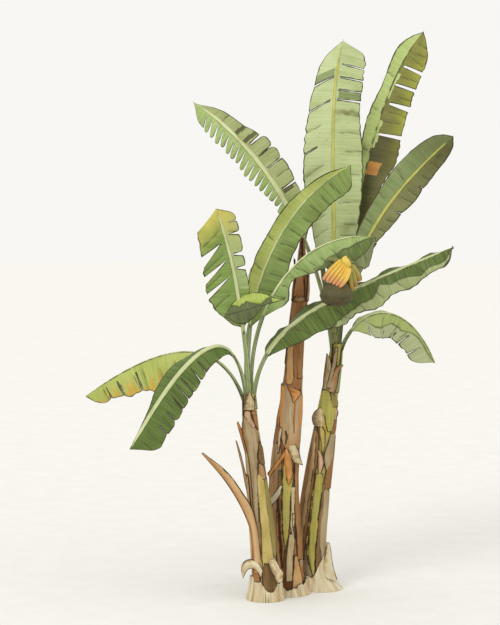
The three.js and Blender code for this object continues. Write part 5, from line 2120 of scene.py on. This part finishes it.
            tears=tears(0.3, 0.5, 0.68, root=0.62, gap=6), creases=(0.2, 0.37, 0.44, 0.58, 0.63, 0.74, 0.82),
            blushes=(Blush(0.95, 0.5, 0.25, 1.0, 0.9),),
        ),
    ),
    Leaf(
        "leaf_right_drooping", "right", turn=350, foot=-50, rise=(492, 250, 2312), arch=(950, 400, 2441),
        tip=(1220, 620, 1806), start=0.2, face=(0, -0.5, 1), tip_face=(0.8, -0.4, 0.5), ripple=10, waves=4,
        swell=(0.25, 0.5, 2.2),
        left=Half(L.STRIP, fold=20, curl=20, lean=0.1, width=110, creases=(0.4, 0.6)),
        right=Half(
            L.STRIP, fold=60, curl=10, lean=-0.1,
            margin=((0, 10), (0.1, 118), (0.25, 218), (0.5, 205), (0.7, 194), (0.88, 174), (0.95, 130),
                (1, 5)),
            tears=(Tear(0.17, 0.5, 12), Tear(0.38, 0.6, 14), Tear(0.54, 0.75, 10), Tear(0.66, 0.45, 14),
                Tear(0.82, 0.6, 12)),
            creases=(0.33, 0.5, 0.63),
            seams=(Seam(L.UNDER_GREY, ((0.14, 0.08), (0.18, 0.34), (0.25, 0.55), (0.33, 0.6), (0.4, 0.48),
                (0.44, 0.36), (0.5, 0.43), (0.57, 0.46), (0.65, 0.25), (0.73, 0.13), (0.9, 0.14), (1, 0.1)),
                -4),),
            loose=14,
        ),
    ),
    Leaf(
        "leaf_right_back", "right", turn=88, foot=0, rise=(400, 480, 2600), arch=(380, 900, 3500),
        tip=(330, 1550, 3750), start=0.3, face=(0, -0.5, 1), tip_face=(0, 0.3, 1), ripple=12, waves=4,
        swell=(0.25, 0.55, 2.2),
        left=Half(
            L.SOFT, fold=18, curl=20, lean=0.1, width=200, tears=tears(0.35, 0.6, 0.8, root=0.3, gap=16),
            creases=(0.2, 0.28, 0.45, 0.52, 0.7),
        ),
        right=Half(
            L.SOFT, fold=18, curl=20, lean=0.1, width=200, tears=tears(0.45, 0.7, root=0.3, gap=16),
            creases=(0.22, 0.32, 0.56, 0.62, 0.8),
        ),
    ),
)


# Fruit


@dataclass(frozen=True)
class Hand:
    """A hand of fingers, packed side by side between its first and its last one.

    first and last are each three points: the crown, the belly and the tip of that finger's curve. `thick` is
    a finger's greatest radius.
    """

    count: int
    thick: float
    tone: FruitTone
    first: tuple[Triple, ...]
    last: tuple[Triple, ...]


@dataclass
class Bunch:
    """A short bunch on a stalk that leaves the right stem's top, passes between two leaves and bends over."""

    path: tuple[Triple, ...] = (
        (386, 212, 1960), (335, 130, 2250), (262, -50, 2590), (284, -290, 2705), (392, -440, 2682),
        (405, -470, 2620), (352, -490, 2520),
    )
    radius: float = 21.0
    cushion: tuple[Triple, ...] = ((396, -500, 2728), (426, -508, 2700), (446, -500, 2655))
    cushion_radius: float = 36.0
    hands: tuple[Hand, ...] = (
        Hand(
            6, 18.5, FruitTone.YELLOW,
            first=((392, -505, 2712), (306, -520, 2660), (242, -530, 2552)),
            last=((452, -512, 2650), (442, -560, 2566), (366, -560, 2500)),
        ),
        Hand(
            3, 26.0, FruitTone.OLIVE,
            first=((446, -475, 2650), (458, -480, 2560), (470, -470, 2462)),
            last=((462, -450, 2668), (522, -440, 2612), (532, -430, 2540)),
        ),
        Hand(
            5, 19.0, FruitTone.OLIVE,
            first=((392, -462, 2704), (318, -440, 2640), (262, -430, 2556)),
            last=((448, -440, 2660), (476, -400, 2570), (430, -400, 2490)),
        ),
    )

    def add_stalk(self, work: Patchwork) -> None:
        """The stalk: a round bar with low rings where old bracts sat.

        Args:
            work: the bunch's mesh.
        """
        share = np.linspace(0, 1, 150)
        angle = np.linspace(0, 2 * np.pi, 20, endpoint=False)
        beat = np.sin(share * 150)[:, None]
        ring = 0.9 * beat + 0.5 * waver(angle * 3, 4)
        radius = (self.radius - 2 + ring) * (1 - 0.25 * smooth(share, 0.75, 1.0))[:, None]
        point = rings_round(through(np.array(self.path), share), np.array([0.3, 0.2, 0.0]), angle, radius)
        lay = marks(share[:, None] * 1400 * MM, angle * self.radius * MM, 0.4)
        # painted shade in the troughs between the stalk's rings
        age = marks(NO_EDGE * MM, np.clip(-beat - 0.75, 0, 1) * 2, 0.3)
        work.add_tube(point * MM, 0, lay, age)

    def add_finger(self, work: Patchwork, curve: Array, thick: float, finish: int, seed: int) -> None:
        """One finger: soft sides along a quadratic Bezier from the crown, by the belly, to the tip.

        Its radius is thick (0.55 + 0.45 sin(pi (0.1 + 0.75 t))), rounded off to a small stub at the tip. Its
        two sides, where it meets its neighbours, are painted darker as shade.

        Args:
            work: the mesh that it is added to.
            curve: the curve's three points, in millimetres.
            thick: the finger's greatest radius.
            finish: its material's place in the list.
            seed: sets off its facets and its tone.
        """
        t = np.linspace(0, 1, 34)
        start, belly, tip = curve
        centre = np.outer((1 - t) ** 2, start) + np.outer(2 * t * (1 - t), belly) + np.outer(t**2, tip)
        angle = np.linspace(0, 2 * np.pi, 22, endpoint=False)
        swell = 0.55 + 0.45 * np.sin(np.pi * (0.1 + 0.75 * t))
        closing = np.sqrt(np.clip(1 - smooth(t, 0.9, 1.0) ** 2 * 0.93, 0, 1))
        closing = closing * np.sqrt(np.clip(t / 0.06, 0.15, 1))
        facet = 1 + 0.05 * np.cos(5 * angle + seed) * smooth(np.sin(np.pi * t), 0.1, 0.6)[:, None]
        radius = thick * (swell * closing)[:, None] * facet
        point = rings_round(centre, np.array([0.0, -1.0, 0.0]), angle, radius)
        # painted shade down the two sides where a finger meets its neighbours
        side_shade = smooth(np.abs(np.cos(angle)), 0.7, 0.9) * smooth(t, 0.12, 0.3)[:, None]
        lay = marks(t[:, None] * 0.26, angle * thick * MM, spread(seed))
        stub = smooth(t, 0.97, 1.0)[:, None]
        age = marks(NO_EDGE * MM, np.maximum(side_shade, stub), smooth(t, 0.5, 0.92)[:, None])
        work.add_tube(point * MM, finish, lay, age)

    def build(self) -> bpy.types.Object:
        """The stalk, the cushion that the front hand springs from, and all the fingers as one object.

        Returns:
            The object, riding on the root body.
        """
        work = Patchwork()
        self.add_stalk(work)
        tones = [SheathTone.STALK, FruitTone.YELLOW, FruitTone.OLIVE, FruitTone.CROWN]
        crown = tones.index(FruitTone.CROWN)
        self.add_finger(work, np.array(self.cushion, float), self.cushion_radius, crown, 2)
        for h, hand in enumerate(self.hands):
            for index, share in enumerate(np.linspace(0, 1, hand.count)):
                curve = np.array(hand.first) * (1 - share) + np.array(hand.last) * share
                self.add_finger(work, curve, hand.thick, tones.index(hand.tone), 3 * h + index)
        return work.build("fruit_bunch_fingers", tones, "fruit", "fruit_bunch")


@dataclass(frozen=True)
class Whorl:
    """A ring of the bud's bracts: their number, their top and bottom levels, and how far out they stand."""

    count: int
    high: float
    low: float
    off: float


@dataclass
class Bud:
    """The bud at the bunch's lower end: broad leathery bracts in three whorls round a blunt lobed foot."""

    centre: Triple = (353, -478, 2447)
    across: float = 129.0
    deep: float = 104.0
    tall: float = 96.0
    whorls: tuple[Whorl, ...] = (
        Whorl(5, high=0.96, low=-0.97, off=-5.0),
        Whorl(5, high=0.97, low=-0.72, off=-2.0),
        Whorl(4, high=0.98, low=-0.3, off=0.0),
    )

    def form(self, round_: Array, level: Array, grow: Array | float) -> Array:
        """Points of the bud: a blunt cone, widest 0.15 below its middle, with a lobed foot.

        Args:
            round_: the angle round the axis, in radians.
            level: -1 at the foot to 1 at the top.
            grow: millimetres outside the bud's own surface.

        Returns:
            The points, in millimetres.
        """
        low = np.clip((-0.15 - level) / 0.85, 0, 1)
        high = np.clip((level + 0.15) / 1.15, 0, 1)
        closing = np.sqrt(np.clip((1 - level) / 0.12, 0, 1))
        ring = np.sqrt(np.clip(1 - low**2.4, 0, 1)) * (1 - 0.42 * high**1.3) * closing
        lobes = 1 + 0.05 * np.cos(5 * round_ + 0.6) * low
        x = (self.across * ring * lobes + grow * ring) * np.cos(round_)
        y = (self.deep * ring * lobes + grow * ring) * np.sin(round_)
        z = self.tall * level * (1 - 0.1 * np.cos(3 * round_ + 1.0) * low) + grow * level
        return np.stack([x, y, z], -1) + np.array(self.centre)

    def build(self) -> bpy.types.Object:
        """The bracts as slabs over a core.

        A bract spans an angle that is widest two thirds down and closes to a rounded end, and it stands
        further off the core towards its free lower edge.

        Returns:
            The object, riding on the root body.
        """
        work = Patchwork()
        level, turn = grid(np.linspace(0.995, -0.995, 26), np.linspace(0, 2 * np.pi, 48, endpoint=False))
        core = self.form(turn, level, -9.0)
        lay = marks(level * 0.1, turn * 0.1, 0.2)
        work.add_tube(core[:, ::-1] * MM, 0, lay[:, ::-1], marks(NO_EDGE * MM, 0.0, 0.0))
        rows, across = 30, 25
        t, s = grid(np.linspace(0, 1, rows), np.linspace(-1, 1, across))
        for n, whorl in enumerate(self.whorls):
            for k in range(whorl.count):
                seed = n * 7 + k
                middle = 2 * np.pi * (k + 0.5 * n + 0.15) / whorl.count - 1.35
                narrow = np.sqrt(np.clip(1 - np.clip((t - 0.55) / 0.47, 0, 1) ** 2.6, 0.012, 1))
                reach = np.pi / whorl.count * 1.35 * narrow
                frayed = t * (1 - 0.05 * (1 + waver(s * 3, seed)) * t**3)
                grow = whorl.off + 5 * t**3 - 5 * np.abs(s) ** 3 + 1.2 * waver(s * 9, seed + 1, t * 2)
                reached = whorl.high + (whorl.low - whorl.high) * frayed
                points = self.form(middle + reach * s, reached, grow) * MM
                edge = np.minimum((1 - np.abs(s)) * reach * 110, (1 - t) * 160 + 1)
                lay = marks(t * 0.16, s * reach * 0.1, spread(seed))
                age = marks(edge * MM, 0.0, smooth(t, 0.6, 1.1) * 0.5)
                work.add_slab(points, grid_faces(rows, across)[:, ::-1], BRACT_SLAB, 0, 0, lay, age)
        return work.build("fruit_bud_bracts", [FruitTone.BRACT], "bract", "fruit_bud")


# Studio


@dataclass(frozen=True)
class Lamp:
    """A far lamp: its strength, how soft it is, and the way it shines, all angles in degrees."""

    name: str
    energy: float
    spread: float
    turn: float
    lean: float


@dataclass
class Studio:
    """A pale floor, soft light from all round and from two large lamps, and a camera at the clump's front."""

    target: Triple = (-0.32, 0.0, 2.268)
    distance: float = 16.0
    elevation: float = 4.0
    lens: float = 115.2
    sensor: float = 36.0
    sight: float = 200.0
    sky: tuple[float, float, float, float] = (0.957, 0.946, 0.914, 1.0)
    sky_strength: float = 0.98
    lamps: tuple[Lamp, ...] = (Lamp("key", 1.0, 28.0, -34.0, 42.0), Lamp("fill", 0.3, 60.0, 60.0, 35.0))
    floor_radius: float = 60.0
    floor_corners: int = 96
    floor_tones: tuple[str, str] = ("#e4e3df", "#e7e6e2")

    def build(self) -> None:
        """Sets up the camera, the lights and the floor."""
        self._camera()
        self._lights()
        self._floor()

    @staticmethod
    def _placed(name: str, data: bpy.types.ID) -> bpy.types.Object:
        """A new object in the scene.

        Args:
            name: the object's name.
            data: what it shows.

        Returns:
            The object.
        """
        made = bpy.data.objects.new(name, data)
        bpy.context.scene.collection.objects.link(made)
        return made

    def _camera(self) -> None:
        """The camera looks along +Y, a little down."""
        lens = bpy.data.cameras.new("camera")
        lens.lens, lens.sensor_width, lens.clip_end = self.lens, self.sensor, self.sight
        camera = self._placed("camera", lens)
        tilt = np.radians(self.elevation)
        x, y, z = self.target
        camera.location = (x, y - self.distance * np.cos(tilt), z + self.distance * np.sin(tilt))
        camera.rotation_euler = (np.pi / 2 - tilt, 0.0, 0.0)
        bpy.context.scene.camera = camera

    def _lights(self) -> None:
        """An even pale sky, a broad key from the upper left and a weaker fill from the right."""
        world = bpy.data.worlds.new("soft sky")
        world.use_nodes = True
        sky = world.node_tree.nodes["Background"]
        sky.inputs["Color"].default_value = self.sky
        sky.inputs["Strength"].default_value = self.sky_strength
        bpy.context.scene.world = world
        for lamp in self.lamps:
            light = bpy.data.lights.new(lamp.name, "SUN")
            light.energy, light.angle = lamp.energy, np.radians(lamp.spread)
            sun = self._placed(lamp.name, light)
            sun.rotation_euler = (np.radians(90 - lamp.lean), 0.0, np.radians(lamp.turn))

    def _floor(self) -> None:
        """A round pale floor at ground level, a little cloudy."""
        angle = np.linspace(0, 2 * np.pi, self.floor_corners, endpoint=False)
        rim = marks(self.floor_radius * np.cos(angle), self.floor_radius * np.sin(angle), 0.0)
        mesh = bpy.data.meshes.new("floor")
        mesh.from_pydata(rim.tolist(), [], [list(range(self.floor_corners))])
        material = bpy.data.materials.new("pale floor")
        material.use_nodes = True
        shader = material.node_tree.nodes["Principled BSDF"]
        w = Wiring(material.node_tree)
        grain = w.noise(w.place("ShaderNodeTexCoord").outputs["Object"], 4.0, 4.0)
        pale, paler = (paint(code, 1.0) for code in self.floor_tones)
        w.feed(shader.inputs["Base Color"], w.mix(w.span(grain, 0.3, 0.7), pale, paler))
        shader.inputs["Roughness"].default_value = 0.95
        shader.inputs["Specular IOR Level"].default_value = 0.0
        mesh.materials.append(material)
        self._placed("floor", mesh)


def main() -> None:
    """Builds the studio, the stems with their sheaths, the root crown, the leaves and the fruit."""
    logging.basicConfig(level=logging.INFO, format="%(name)s: %(message)s")
    bpy.context.scene.view_settings.view_transform = "Standard"
    Studio().build()
    for name, stem in STEMS.items():
        stem.build(BANDS[name])
    for sheath in PEELED:
        sheath.build()
    RootCrown().build()
    for leaf in LEAVES:
        leaf.build()
    Bunch().build()
    Bud().build()


if __name__ == "__main__":
    main()
